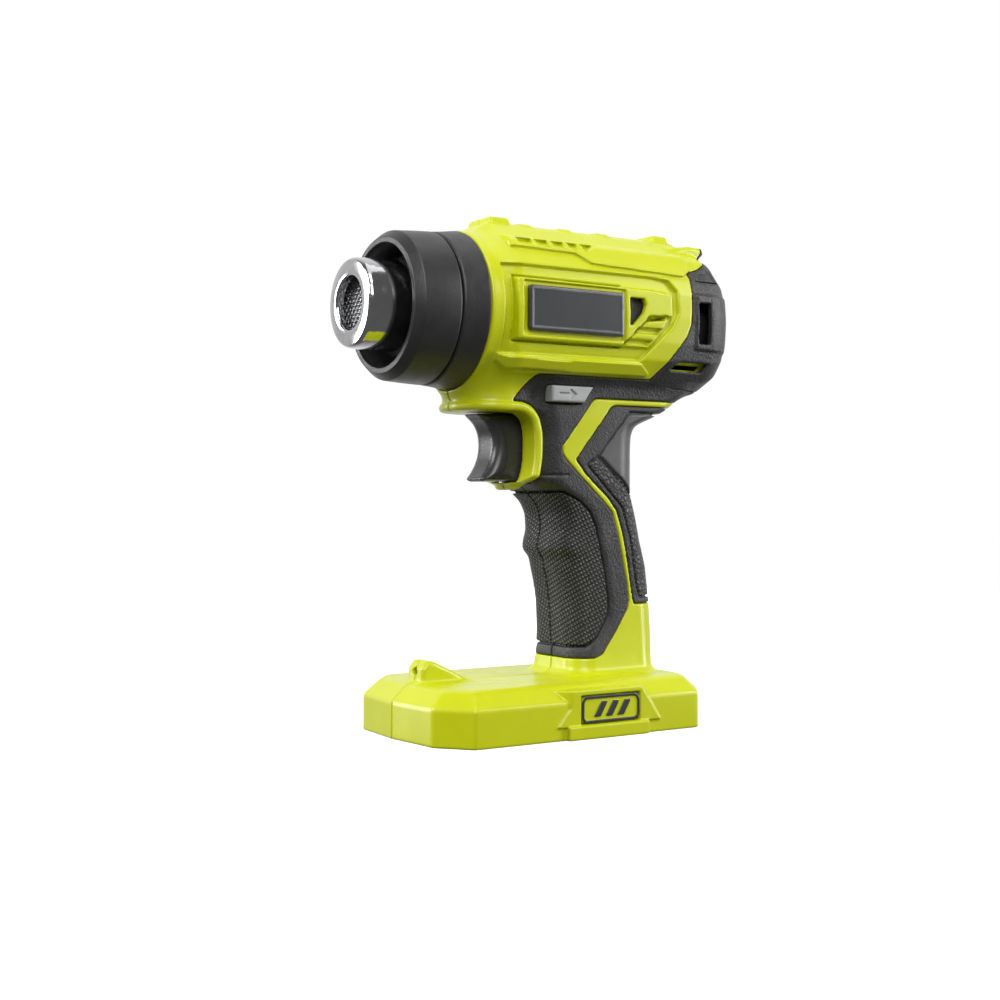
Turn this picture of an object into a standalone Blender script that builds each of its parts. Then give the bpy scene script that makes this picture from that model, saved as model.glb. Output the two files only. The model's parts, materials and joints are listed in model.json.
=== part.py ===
"""Cordless heat gun without its battery: a pistol-shaped clamshell with a hot-air barrel.

Frame: metres in the scene, millimetres in the constants below, +Z up, the nozzle points to -Y,
the tool's left side is +X, and the origin is the centre of the base on the surface it stands on.
"""
import math

import bmesh
import bpy
from mathutils import Matrix, Vector

MM = 0.001
GAP = 0.3                       # clearance between neighbouring pieces

# Barrel
AXIS_Z = 165.4                  # height of the air barrel's axis
NOZZLE_TIP = -83.5
NOZZLE_R = 17.25
NOZZLE_LIP_R = 9.5
NOZZLE_WALL = 0.9
NOZZLE_SHOULDER = -63.0
NOZZLE_SHOULDER_R = 19.6
SCREEN_Y = -77.0
SHROUD_FRONT = -69.6
SHROUD_SEAM = -50.6
SHROUD_INNER_R = 23.8
SHROUD_FACE_R = 25.95
SHROUD_CHAMFER_R = 28.6
SHROUD_CHAMFER = -66.3
SHROUD_SEAM_R = 29.6
SHROUD_REAR_R = 30.85
BODY_FRONT = -39.0
BODY_FRONT_R = 31.2
BODY_REAR = 83.5
WALL = 2.6

# Air path
FLANGE_THICK = 3.2
DUCT_R = 24.0
DUCT_WALL = 1.4
DUCT_ENDS = (-34.0, 40.0)
MOTOR_R = 14.0
MOTOR_ENDS = (-2.0, 34.0)
FAN_R = 21.5
FAN_ENDS = (42.0, 54.0)
SHAFT_R = 1.5
SLEEVE_R = 14.4
SLEEVE_ENDS = (-75.5, -39.5)
FORMER_HALF = 10.0
FORMER_ENDS = (-73.0, -43.0)
COIL_R = 11.6
COIL_WIRE_R = 0.6
COIL_TURNS = 6

# Foot
FOOT_HALF = 40.0
FOOT_FRONT = -65.2
FOOT_REAR = 64.0
FOOT_WALL_TOP = 14.0
FOOT_DECK = 21.6

# Grip
OVERMOLD = 2.0                  # thickness of the soft grip skins
GRIP_CORNER = 10.0
# height, front, rear, half width of the grip's sections, from the foot up into the body
GRIP_SECTIONS = (
    (12.0, 4.0, 53.2, 23.0),
    (20.0, 8.0, 52.4, 20.4),
    (27.0, 9.4, 52.2, 18.4),
    (38.0, 9.2, 52.8, 17.5),
    (50.0, 8.4, 52.2, 17.4),
    (62.0, 6.2, 50.2, 17.5),
    (71.0, 3.0, 47.6, 17.8),
    (80.0, 3.4, 45.2, 18.0),
    (92.0, 0.6, 41.8, 18.2),
    (100.0, -8.0, 41.0, 18.6),
    (112.0, -10.4, 40.8, 19.4),
    (122.0, -10.6, 42.0, 20.2),
    (128.0, -12.0, 57.0, 20.8),
    (133.0, -14.0, 64.5, 21.2),
    (138.0, -16.0, 66.0, 21.2),
)

# Controls
TRIGGER_HALF = 8.4
TRIGGER_TOP = 125.4
TRIGGER_BOTTOM = 98.8
TRIGGER_BACK = -4.0
TRIGGER_WINDOW = ((-9.0, -20.0, 98.0), (9.0, 2.0, 125.8))
PLUNGER_Z = 110.0
LOCK_SLIDE = 5.0
LOCK_REACH = 24.0
LUG_HOLE_Z = 25.2
LUG_HOLE_R = 1.6

# Air inlets in the rear cap
CAP_WINDOW = ((-60, 60.5, 156.0), (60, 66.0, 171.5))
CAP_SLOT = ((-60, 52.0, 143.8), (60, 66.0, 147.2))
REAR_SLOT_COUNT = 5
REAR_SLOT_PITCH = 7.0
REAR_SLOT_HALF = (13.0, 1.5)
INLET_SCREEN_R = 25.4
INLET_SCREEN_WALL = 0.8
INLET_SCREEN_ENDS = (57.5, 73.5)
INLET_SCREEN_SLOTS = 16

# Outlet screen
SCREEN_R = 15.8
SCREEN_HALF_THICK = 0.4
SCREEN_PITCH = 3.4
SCREEN_HOLE_HALF = 1.3
SCREEN_OPEN_R = 8.5

# Battery socket
SOCKET_CEILING = 66.0
SOCKET_Y = 31.0
TERMINAL_HALF = 11.0
TERMINAL_ENDS = (16.0, 41.0)
TERMINAL_HEIGHT = 5.0
STEM_LAND = (16.0, 23.0, 2.0)    # front, rear and depth of the land the battery stem stops against
BLADE_LENGTH = 12.0

# Half section of the body, top to bottom, as (x, z)
BODY_SECTION = (
    (0.0, 202.0), (7.0, 202.0), (10.2, 199.6), (15.5, 194.8), (22.0, 191.2), (24.6, 187.8),
    (29.6, 181.6), (31.8, 175.0), (32.5, 165.4), (31.8, 155.0), (29.6, 146.6), (24.5, 140.4),
    (14.0, 136.0), (0.0, 134.0),
)
# Station along the barrel, share of the round front section, scale about the axis
BODY_STATIONS = (
    (BODY_FRONT, 1.0, 1.0), (-33.0, 0.75, 1.0), (-25.0, 0.0, 1.0), (10.0, 0.0, 1.0), (57.0, 0.0, 1.0),
    (68.0, 0.0, 0.975), (74.0, 0.0, 0.925), (79.0, 0.0, 0.83), (82.3, 0.0, 0.66), (BODY_REAR, 0.0, 0.42),
)
# Line between the green body and the dark rear cap, as (y, z)
CAP_LINE = (
    (38.0, 141.0), (55.0, 158.0), (57.2, 164.0), (57.8, 184.0), (66.0, 187.0), (73.5, 191.5),
    (76.5, 196.5), (76.5, 220.0),
)
CAP_FLOOR = 137.2
# Soft front skin of the grip, seen from the side, as (y, z)
FRONT_SKIN = (
    (-30.0, 28.2), (18.6, 28.0), (22.5, 29.6), (29.2, 37.7), (34.8, 47.0), (35.2, 55.0), (33.2, 66.6),
    (30.2, 78.0), (27.4, 86.0), (22.0, 91.0), (11.4, 100.2), (2.6, 110.0), (2.0, 113.0), (17.0, 134.4),
    (-10.0, 134.4), (-11.0, 130.5), (-6.5, 126.0), (-5.2, 112.0), (-6.0, 101.0), (-8.5, 95.5), (-30.0, 94.2),
)
# Soft rear skin, behind the green stripe
REAR_SKIN = (
    (38.3, 49.2), (75.0, 49.0), (75.0, 129.0), (26.0, 129.4), (8.4, 107.6), (13.4, 101.8), (24.2, 92.6),
    (29.4, 87.4), (32.4, 78.6), (35.4, 66.8), (37.4, 55.0),
)
LOCK_OUTLINE = ((-6.5, 129.9), (9.2, 129.9), (13.6, 135.6), (-6.5, 135.6))
CHIN_OUTLINE = (
    (-37.6, 126.0), (-8.0, 126.0), (-8.0, 142.5), (-38.7, 142.5), (-38.7, 128.0),
)
CHIN_HALF = 13.0
LUG_OUTLINE = (
    (-57.6, 19.0), (-32.0, 19.0), (-32.5, 20.4), (-49.8, 28.4), (-51.9, 29.5), (-54.8, 29.2), (-57.0, 26.2),
)
LUG_HALF = 6.0
PLATE = ((31.6, -23.5, 156.0), (33.8, 22.0, 173.3))
WINDOW = ((20.0, 27.0, 161.5), (60.0, 34.0, 171.8))
FOOT_BADGE = ((39.0, -4.0, 6.0), (40.2, 22.0, 15.0))
TRIGGER_OUTLINE = (
    (-10.5, TRIGGER_BOTTOM), (TRIGGER_BACK, 101.5), (TRIGGER_BACK, TRIGGER_TOP), (-29.8, TRIGGER_TOP),
    (-28.6, 124.2), (-25.2, 122.2), (-23.2, 119.2), (-22.3, 115.5), (-22.5, 112.0), (-23.6, 108.0),
    (-24.9, 105.0), (-26.2, 102.2), (-27.6, 100.2), (-26.9, TRIGGER_BOTTOM),
)

COLOURS = {
    "green": ((0.56, 0.63, 0.010), 0.42, 0.0),
    "charcoal": ((0.050, 0.052, 0.055), 0.72, 0.0),
    "black": ((0.022, 0.022, 0.024), 0.45, 0.0),
    "badge": ((0.075, 0.077, 0.082), 0.35, 0.0),
    "chrome": ((0.72, 0.72, 0.73), 0.12, 1.0),
    "steel": ((0.45, 0.45, 0.46), 0.35, 1.0),
    "silver_plastic": ((0.42, 0.43, 0.44), 0.40, 0.1),
    "mica": ((0.52, 0.44, 0.32), 0.60, 0.0),
    "ceramic": ((0.78, 0.75, 0.68), 0.70, 0.0),
    "element": ((0.30, 0.26, 0.23), 0.40, 1.0),
    "board": ((0.02, 0.16, 0.07), 0.45, 0.0),
    "copper": ((0.72, 0.36, 0.18), 0.30, 1.0),
    "brass": ((0.66, 0.50, 0.20), 0.30, 1.0),
    "red_wire": ((0.45, 0.02, 0.02), 0.45, 0.0),
    "black_wire": ((0.015, 0.015, 0.015), 0.45, 0.0),
    "cream": ((0.62, 0.60, 0.53), 0.55, 0.0),
}

SCREWS = {                      # y, z of each clamshell screw
    "housing_screw_body_front": (-22.0, 194.0),
    "housing_screw_body_rear": (46.0, 194.0),
    "housing_screw_chin": (-27.0, 131.5),
    "housing_screw_grip_top": (35.0, 124.0),
    "housing_screw_grip_middle": (36.0, 84.0),
    "housing_screw_foot_front": (-44.0, 15.1),
    "housing_screw_foot_rear": (54.5, 14.6),
}
BOSS_R = 4.4
COUNTERBORE_R = 3.0
HEAD_R = 2.7
SHANK_R = 1.5
HEAD_SEAT = 6.0
SHANK_HOLE_END = 8.0


# ---------------------------------------------------------------- scene and small helpers

def clear_scene():
    """Remove every object, so that the script can be run twice."""
    for item in list(bpy.data.objects):
        bpy.data.objects.remove(item, do_unlink=True)


def collection(name):
    """A new collection in the scene."""
    made = bpy.data.collections.new(name)
    bpy.context.scene.collection.children.link(made)
    return made


def material(name):
    """The Principled material of one entry of COLOURS."""
    found = bpy.data.materials.get(name)
    if found:
        return found
    colour, roughness, metallic = COLOURS[name]
    made = bpy.data.materials.new(name)
    made.use_nodes = True
    shader = made.node_tree.nodes["Principled BSDF"]
    shader.inputs["Base Color"].default_value = (*colour, 1.0)
    shader.inputs["Roughness"].default_value = roughness
    shader.inputs["Metallic"].default_value = metallic
    return made


def place(name, mesh, finish=None):
    """Put a mesh in the scene as a part, or as a hidden cutter when it has no finish."""
    made = bpy.data.objects.new(name, mesh)
    if finish:
        PARTS.objects.link(made)
        mesh.materials.clear()
        mesh.materials.append(material(finish))
    else:
        CUTTERS.objects.link(made)
        made.hide_render = True
        made.display_type = "WIRE"
    return made


def mesh_of(name, bm):
    """A mesh from a bmesh in millimetres, scaled to metres."""
    bmesh.ops.scale(bm, vec=(MM, MM, MM), verts=bm.verts)
    bmesh.ops.recalc_face_normals(bm, faces=bm.faces)
    mesh = bpy.data.meshes.new(name)
    bm.to_mesh(mesh)
    bm.free()
    return mesh


def smooth(made, angle=35):
    """Shade a round piece smooth with crisp edges."""
    made.data.shade_smooth()
    made.data.set_sharp_from_angle(angle=math.radians(angle))
    return made


def boolean(target, tool, operation="DIFFERENCE"):
    """Add one exact Boolean modifier."""
    step = target.modifiers.new(f"{operation.lower()} {tool.name}", "BOOLEAN")
    step.operation = operation
    step.object = tool
    step.solver = "EXACT"
    return target


def bevel(target, width, segments=2, angle=40):
    """Round a piece's edges."""
    step = target.modifiers.new("rounded edges", "BEVEL")
    step.width = width * MM
    step.segments = segments
    step.limit_method = "ANGLE"
    step.angle_limit = math.radians(angle)
    return target


def box(name, low, high, finish=None):
    """A box between two corners."""
    bm = bmesh.new()
    bmesh.ops.create_cube(bm, size=1.0)
    size = Vector(high) - Vector(low)
    bmesh.ops.scale(bm, vec=size, verts=bm.verts)
    bmesh.ops.translate(bm, vec=(Vector(high) + Vector(low)) / 2, verts=bm.verts)
    return place(name, mesh_of(name, bm), finish)


def rod(name, start, end, radius, finish=None, sides=20):
    """A straight cylinder between two points."""
    start = Vector(start)
    end = Vector(end)
    bm = bmesh.new()
    bmesh.ops.create_cone(bm, cap_ends=True, segments=sides, radius1=radius, radius2=radius,
                          depth=(end - start).length)
    turn = (end - start).to_track_quat("Z", "Y").to_matrix().to_4x4()
    bmesh.ops.transform(bm, matrix=Matrix.Translation((start + end) / 2) @ turn, verts=bm.verts)
    made = place(name, mesh_of(name, bm), finish)
    return smooth(made) if finish else made


def turned(name, profile, finish=None, steps=32, centre=(0.0, 0.0, AXIS_Z)):
    """A solid of revolution about the barrel axis; profile is (radius, y), closed."""
    bm = bmesh.new()
    points = [bm.verts.new((radius * MM, 0.0, -y * MM)) for radius, y in profile]
    for first, second in zip(points, points[1:] + points[:1]):
        bm.edges.new((first, second))
    mesh = bpy.data.meshes.new(name)
    bm.to_mesh(mesh)
    bm.free()
    made = place(name, mesh, finish)
    made.location = Vector(centre) * MM
    made.rotation_euler = (math.pi / 2, 0.0, 0.0)
    step = made.modifiers.new("turned", "SCREW")
    step.axis = "Z"
    step.steps = steps
    step.render_steps = steps
    step.use_merge_vertices = True
    step.merge_threshold = 0.00001
    step.use_smooth_shade = False
    return made


def ring(name, outer, inner, front, rear, finish, steps=32):
    """A plain tube about the barrel axis."""
    profile = ((outer, front), (outer, rear), (inner, rear), (inner, front))
    return turned(name, profile, finish, steps)


def outline(name, points, axis, low, high, finish=None):
    """A flat outline given thickness from low to high along an axis."""
    curve = bpy.data.curves.new(name, "CURVE")
    curve.dimensions = "2D"
    curve.fill_mode = "BOTH"
    curve.extrude = (high - low) / 2 * MM
    spline = curve.splines.new("POLY")
    spline.points.add(len(points) - 1)
    for point, (u, v) in zip(spline.points, points):
        point.co = (u * MM, v * MM, 0.0, 1.0)
    spline.use_cyclic_u = True
    flat = bpy.data.objects.new(name, curve)
    bpy.context.scene.collection.objects.link(flat)
    mesh = meshed(flat)
    middle = (low + high) / 2 * MM
    if axis == "X":             # u is y, v is z
        turn = Matrix(((0, 0, 1, middle), (1, 0, 0, 0), (0, 1, 0, 0), (0, 0, 0, 1)))
    elif axis == "Y":           # u is x, v is z
        turn = Matrix(((1, 0, 0, 0), (0, 0, -1, middle), (0, 1, 0, 0), (0, 0, 0, 1)))
    else:                       # u is x, v is y
        turn = Matrix.Translation((0, 0, middle))
    mesh.transform(turn)
    return place(name, mesh, finish)


def meshed(curve_object):
    """The welded mesh of a curve object, which is then removed."""
    graph = bpy.context.evaluated_depsgraph_get()
    mesh = bpy.data.meshes.new_from_object(curve_object.evaluated_get(graph))
    bm = bmesh.new()
    bm.from_mesh(mesh)
    bmesh.ops.remove_doubles(bm, verts=bm.verts, dist=0.000001)
    bmesh.ops.recalc_face_normals(bm, faces=bm.faces)
    bm.to_mesh(mesh)
    bm.free()
    bpy.data.objects.remove(curve_object, do_unlink=True)
    return mesh


def wire(name, points, radius, finish, resolution=1):
    """A round wire through points."""
    curve = bpy.data.curves.new(name, "CURVE")
    curve.dimensions = "3D"
    curve.bevel_depth = radius * MM
    curve.bevel_resolution = resolution
    curve.use_fill_caps = True
    spline = curve.splines.new("POLY")
    spline.points.add(len(points) - 1)
    for point, place_ in zip(spline.points, points):
        point.co = (*[value * MM for value in place_], 1.0)
    made = bpy.data.objects.new(name, curve)
    PARTS.objects.link(made)
    curve.materials.append(material(finish))
    return made


def through(points, per_leg=3):
    """Points on a smooth curve through hand-picked ones."""
    held = [Vector(points[0])] + [Vector(p) for p in points] + [Vector(points[-1])]
    out = []
    for a, b, c, d in zip(held, held[1:], held[2:], held[3:]):
        for step in range(per_leg):
            t = step / per_leg
            out.append(0.5 * (2 * b + (c - a) * t + (2 * a - 5 * b + 4 * c - d) * t * t
                              + (3 * b - a - 3 * c + d) * t ** 3))
    out.append(held[-1])
    return [tuple(p) for p in out]


def loft(name, rings, finish=None):
    """A closed solid through rings of equally many points."""
    bm = bmesh.new()
    rows = [[bm.verts.new(point) for point in points] for points in rings]
    for lower, upper in zip(rows, rows[1:]):
        for index in range(len(lower)):
            after = (index + 1) % len(lower)
            bm.faces.new((lower[index], lower[after], upper[after], upper[index]))
    bmesh.ops.triangulate(bm, faces=bm.faces)
    bm.faces.new(rows[0])
    bm.faces.new(rows[-1])
    return place(name, mesh_of(name, bm), finish)


# ---------------------------------------------------------------- outer forms

def inset(points, amount):
    """A closed outline moved inwards by an amount; its points run counter-clockwise."""
    out = []
    count = len(points)
    for index, point in enumerate(points):
        here = Vector(point)
        before = (here - Vector(points[index - 1])).normalized()
        after = (Vector(points[(index + 1) % count]) - here).normalized()
        normal = Vector((-before.y - after.y, before.x + after.x)).normalized()
        lean = max(0.5, normal.dot(Vector((-before.y, before.x))))
        out.append(tuple(here + normal * amount / lean))
    return out


def body_form(name, skin, front, rear, finish=None):
    """The barrel housing's form, inset by skin, between two stations."""
    half = list(BODY_SECTION)
    full = [(-x, z) for x, z in half[1:-1]] + [half[-1]] + [(x, z) for x, z in reversed(half[1:-1])]
    full.append(half[0])
    rings = []
    for y, share, scale in BODY_STATIONS:
        points = []
        for x, z in full:
            angle = math.atan2(z - AXIS_Z, x)
            reach = math.hypot(x, z - AXIS_Z)
            reach = (reach * (1 - share) + BODY_FRONT_R * share) * scale
            points.append((reach * math.cos(angle), AXIS_Z + reach * math.sin(angle)))
        if skin:
            points = inset(points, skin)
        rings.append((y, points))
    rings[0] = (front, rings[0][1])
    rings = [(min(y, rear), points) for y, points in rings]
    while rings[-2][0] >= rear:
        rings.pop()
    return loft(name, [[(x, y, z) for x, z in points] for y, points in rings], finish)


def grip_ring(front, rear, half, corner):
    """A rounded box section of the grip, as (x, y) points."""
    corner = min(corner, half - 1.0)
    centres = ((half - corner, front + corner, -90), (half - corner, rear - corner, 0),
               (-half + corner, rear - corner, 90), (-half + corner, front + corner, 180))
    points = []
    for x, y, start in centres:
        for step in range(4):
            angle = math.radians(start + step * 30)
            points.append((x + corner * math.cos(angle), y + corner * math.sin(angle)))
    return points


def grip_form(name, skin, low=None, high=None, finish=None):
    """The grip's form, inset by skin, optionally stretched at its ends."""
    rings = []
    for height, front, rear, half in GRIP_SECTIONS:
        points = inset(grip_ring(front, rear, half, GRIP_CORNER), skin) if skin else \
            grip_ring(front, rear, half, GRIP_CORNER)
        rings.append([height, points])
    if low is not None:
        rings[0][0] = low
    if high is not None:
        rings[-1][0] = high
    return loft(name, [[(x, y, height) for x, y in points] for height, points in rings], finish)


def foot_outline():
    """The foot's outline at its widest, as (x, y) points."""
    points = [(0.0, FOOT_FRONT), (26.75, FOOT_FRONT + 2.1), (FOOT_HALF, FOOT_FRONT + 12.8)]
    points += [(FOOT_HALF, FOOT_REAR - 10.8), (29.5, FOOT_REAR - 2.4), (0.0, FOOT_REAR)]
    points += [(-x, y) for x, y in reversed(points[1:-1])]
    return points


def foot_form(name, levels, finish=None):
    """A form through the foot's outline at (height, inset) levels."""
    base = foot_outline()
    rings = [[(x, y, height) for x, y in inset(base, skin)] for height, skin in levels]
    return loft(name, rings, finish)


def cross_rods(name, radius, start, end):
    """One rod across the tool at every clamshell screw."""
    bm = bmesh.new()
    for y, z in SCREWS.values():
        made = bmesh.ops.create_cone(bm, cap_ends=True, segments=12, radius1=radius, radius2=radius,
                                     depth=end - start)
        turn = Matrix.Translation(((start + end) / 2, y, z)) @ Matrix.Rotation(math.pi / 2, 4, "Y")
        bmesh.ops.transform(bm, matrix=turn, verts=made["verts"])
    return place(name, mesh_of(name, bm))


# ---------------------------------------------------------------- housing

def mirrored(corners):
    """The same box on the other side."""
    low, high = corners
    return (-high[0], low[1], low[2]), (-low[0], high[1], high[2])


def grown(corners, gap=GAP, out=0.0):
    """A box grown by a gap all round, and by more along its outer side."""
    low, high = Vector(corners[0]), Vector(corners[1])
    around = Vector((gap, gap, gap))
    low -= around
    high += around
    if high.x > 0:
        high.x += out
    else:
        low.x -= out
    return tuple(low), tuple(high)


def cap_region(name, grow):
    """The region behind the cap line, across the whole width."""
    points = [(100.0, 220.0), *reversed(CAP_LINE), (60.0, CAP_FLOOR), (100.0, CAP_FLOOR)]
    if grow:
        points = inset(points, -grow)
    return outline(name, points, "X", -60, 60)


def cavity_form():
    """Everything hollow inside the clamshell, except the screw bosses."""
    hollow = body_form("cavity", WALL, -60.0, BODY_REAR - WALL)
    skin = OVERMOLD + WALL
    rings = []
    for height, front, rear, half in GRIP_SECTIONS:
        points = inset(grip_ring(front, min(rear, 56.0), half, GRIP_CORNER), skin)
        rings.append([(x, y, height) for x, y in points])
    rings[0] = [(x, y, 10.0) for x, y, _ in rings[0]]
    rings[-1] = [(x, y, 141.0) for x, y, _ in rings[-1]]
    boolean(hollow, loft("cavity_grip", rings), "UNION")
    boolean(hollow, foot_form("cavity_foot", ((-5.0, 3.0), (14.0, 3.6), (18.6, 10.5))), "UNION")
    boolean(hollow, cross_rods("boss_rods", BOSS_R, -50, 50))
    return hollow


def skin_pocket(name, region, core):
    """The recess that one soft skin is moulded into."""
    cutter = outline(name, inset(region, -GAP), "X", -60, 60)
    return boolean(cutter, core)


def make_shell(hollow):
    """The whole clamshell before it is split down the middle."""
    shell = body_form("shell", 0.0, BODY_FRONT, BODY_REAR)
    boolean(shell, grip_form("shell_grip", 0.0), "UNION")
    foot = foot_form("shell_foot", ((0.0, 1.2), (1.2, 0.4), (4.8, 0.0), (FOOT_WALL_TOP, 1.0),
                                    (19.6, 7.0), (FOOT_DECK, 11.0)))
    boolean(shell, foot, "UNION")
    chin = outline("shell_chin", CHIN_OUTLINE, "X", -CHIN_HALF, CHIN_HALF)
    boolean(shell, chin, "UNION")
    lug = outline("shell_lug", LUG_OUTLINE, "X", -LUG_HALF, LUG_HALF)
    boolean(shell, bevel(lug, 1.2, 1), "UNION")
    boolean(shell, hollow)
    boolean(shell, cap_region("cap_region_wide", GAP))
    core = grip_form("grip_core", OVERMOLD + GAP)
    boolean(shell, skin_pocket("front_skin_pocket", FRONT_SKIN, core))
    boolean(shell, skin_pocket("rear_skin_pocket", REAR_SKIN, core))
    boolean(shell, box("trigger_window", *TRIGGER_WINDOW))
    boolean(shell, outline("lock_hole", inset(LOCK_OUTLINE, -0.35), "X", -60, 60))
    boolean(shell, rod("lug_hole", (0, -60, LUG_HOLE_Z), (0, -50, LUG_HOLE_Z), LUG_HOLE_R))
    for side, turn in (("left", tuple), ("right", mirrored)):
        boolean(shell, box(f"plate_pocket_{side}", *grown(turn(PLATE), out=5.0)))
        boolean(shell, box(f"side_window_{side}", *turn(WINDOW)))
        boolean(shell, box(f"badge_pocket_{side}", *grown(turn(FOOT_BADGE), out=5.0)))
    boolean(shell, cross_rods("shank_holes", SHANK_R + GAP, -HEAD_SEAT - 1.0, SHANK_HOLE_END))
    boolean(shell, cross_rods("counterbores", COUNTERBORE_R, -60, -HEAD_SEAT))
    return shell


def make_housing(shell):
    """Left and right halves of the clamshell."""
    left = box("left_housing", (GAP / 2, -90, -5), (60, 100, 220), "green")
    right = box("right_housing", (-60, -90, -5), (-GAP / 2, 100, 220), "green")
    boolean(left, shell, "INTERSECT")
    boolean(right, shell, "INTERSECT")


def make_rear_cap(hollow):
    """The dark intake cap with side windows, lower slots and a rear grille."""
    cap = body_form("rear_cap", 0.0, BODY_FRONT, BODY_REAR, "charcoal")
    boolean(cap, cap_region("cap_region", 0.0), "INTERSECT")
    boolean(cap, hollow)
    boolean(cap, box("cap_side_windows", *CAP_WINDOW))
    boolean(cap, box("cap_lower_slots", *CAP_SLOT))
    half_width, half_height = REAR_SLOT_HALF
    for number in range(REAR_SLOT_COUNT):
        z = AXIS_Z + (number - REAR_SLOT_COUNT // 2) * REAR_SLOT_PITCH
        boolean(cap, box(f"rear_slot_{number + 1}", (-half_width, 70, z - half_height),
                         (half_width, 90, z + half_height)))


def make_inlet_screen():
    """The slotted guard ring inside the cap, behind the air inlets."""
    front, rear = INLET_SCREEN_ENDS
    screen = ring("inlet_screen", INLET_SCREEN_R, INLET_SCREEN_R - INLET_SCREEN_WALL, front, rear, "black", 48)
    for number in range(INLET_SCREEN_SLOTS // 2):
        angle = 2 * math.pi * (number + 0.5) / INLET_SCREEN_SLOTS
        cutter = box(f"inlet_slot_{number + 1}", (-40, front + 1.5, -1.5), (40, rear - 1.5, 1.5))
        turn = Matrix.Translation((0, 0, AXIS_Z * MM)) @ Matrix.Rotation(angle, 4, "Y")
        cutter.data.transform(turn)
        boolean(screen, cutter)


def make_skins():
    """The soft grip skins on each half."""
    core = grip_form("skin_core", OVERMOLD)
    for side, low, high in (("left", GAP / 2, 60), ("right", -60, -GAP / 2)):
        for place_, region in (("front", FRONT_SKIN), ("rear", REAR_SKIN)):
            skin = grip_form(f"{side}_{place_}_grip_skin", 0.0, finish="charcoal")
            boolean(skin, outline(f"{side}_{place_}_skin_region", region, "X", low, high), "INTERSECT")
            boolean(skin, core)
            if place_ == "front":
                boolean(skin, bpy.data.objects["lock_hole"])
                boolean(skin, bpy.data.objects["trigger_window"])


def make_plates():
    """Blank name plates on the body and blank battery badges on the foot."""
    for side, turn in (("left", tuple), ("right", mirrored)):
        bevel(box(f"{side}_name_plate", *turn(PLATE), "badge"), 0.5, 1)
        bevel(box(f"{side}_foot_badge", *turn(FOOT_BADGE), "badge"), 0.3, 1)


def make_screws():
    """The clamshell screws, entered from the right side."""
    for name, (y, z) in SCREWS.items():
        head = -HEAD_SEAT - GAP
        profile = ((0.0, 0.0), (SHANK_R, 0.0), (SHANK_R, 13.2), (HEAD_R, 13.2), (HEAD_R, 15.0),
                   (HEAD_R - 0.7, 15.6), (0.0, 15.6))
        bm = bmesh.new()
        points = [bm.verts.new((radius * MM, 0, -height * MM)) for radius, height in profile]
        for first, second in zip(points, points[1:]):
            bm.edges.new((first, second))
        mesh = bpy.data.meshes.new(name)
        bm.to_mesh(mesh)
        bm.free()
        screw = place(name, mesh, "steel")
        screw.location = Vector((head + 13.2, y, z)) * MM
        screw.rotation_euler = (0, math.pi / 2, 0)
        step = screw.modifiers.new("turned", "SCREW")
        step.steps = 10
        step.render_steps = 10
        step.use_merge_vertices = True
        step.merge_threshold = 0.00001


# ---------------------------------------------------------------- barrel and hot end

def make_shroud():
    """The black two-part shroud around the nozzle."""
    front = ((SHROUD_FACE_R, SHROUD_FRONT), (SHROUD_CHAMFER_R, SHROUD_CHAMFER), (SHROUD_SEAM_R, SHROUD_SEAM),
             (SHROUD_INNER_R, SHROUD_SEAM), (SHROUD_INNER_R, SHROUD_FRONT))
    rear = ((SHROUD_SEAM_R, SHROUD_SEAM + GAP), (SHROUD_REAR_R, BODY_FRONT - GAP),
            (SHROUD_INNER_R, BODY_FRONT - GAP), (SHROUD_INNER_R, SHROUD_SEAM + GAP))
    turned("shroud_front", front, "black")
    turned("shroud_rear", rear, "black")


def make_nozzle():
    """The chromed outlet tube with its rolled lip and shoulder."""
    outer = [(NOZZLE_LIP_R, -81.4), (10.2, -82.9), (12.0, NOZZLE_TIP), (14.6, -83.2), (16.4, -82.2),
             (NOZZLE_R, -80.3), (NOZZLE_R, NOZZLE_SHOULDER), (NOZZLE_SHOULDER_R - 0.4, NOZZLE_SHOULDER),
             (NOZZLE_SHOULDER_R, NOZZLE_SHOULDER + 0.5), (NOZZLE_SHOULDER_R, -56.0), (NOZZLE_R, -55.4),
             (NOZZLE_R, -39.2)]
    bore = NOZZLE_R - NOZZLE_WALL
    inner = [(bore, -39.2), (bore, -80.0), (15.6, -81.4), (14.2, -82.2), (12.0, -82.4), (10.8, -81.9),
             (10.3, -81.2)]
    turned("nozzle_tube", outer + inner, "chrome")


def make_screen():
    """The woven outlet screen as a thin plate with square openings."""
    curve = bpy.data.curves.new("outlet_screen", "CURVE")
    curve.dimensions = "2D"
    curve.fill_mode = "BOTH"
    curve.extrude = SCREEN_HALF_THICK * MM
    angles = [k * math.pi / 12 for k in range(24)]
    loops = [[(SCREEN_R * math.cos(angle), SCREEN_R * math.sin(angle)) for angle in angles]]
    pitch = SCREEN_PITCH
    half = SCREEN_HOLE_HALF
    for row in range(-2, 3):
        for column in range(-2, 3):
            u = column * pitch
            v = row * pitch
            if math.hypot(u, v) < SCREEN_OPEN_R:
                loops.append([(u - half, v - half), (u - half, v + half), (u + half, v + half),
                              (u + half, v - half)])
    for points in loops:
        spline = curve.splines.new("POLY")
        spline.points.add(len(points) - 1)
        for point, (u, v) in zip(spline.points, points):
            point.co = (u * MM, v * MM, 0.0, 1.0)
        spline.use_cyclic_u = True
    flat = bpy.data.objects.new("outlet_screen", curve)
    bpy.context.scene.collection.objects.link(flat)
    mesh = meshed(flat)
    screen = place("outlet_screen", mesh, "steel")
    screen.location = Vector((0, SCREEN_Y, AXIS_Z)) * MM
    screen.rotation_euler = (math.pi / 2, 0, 0)


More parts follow.
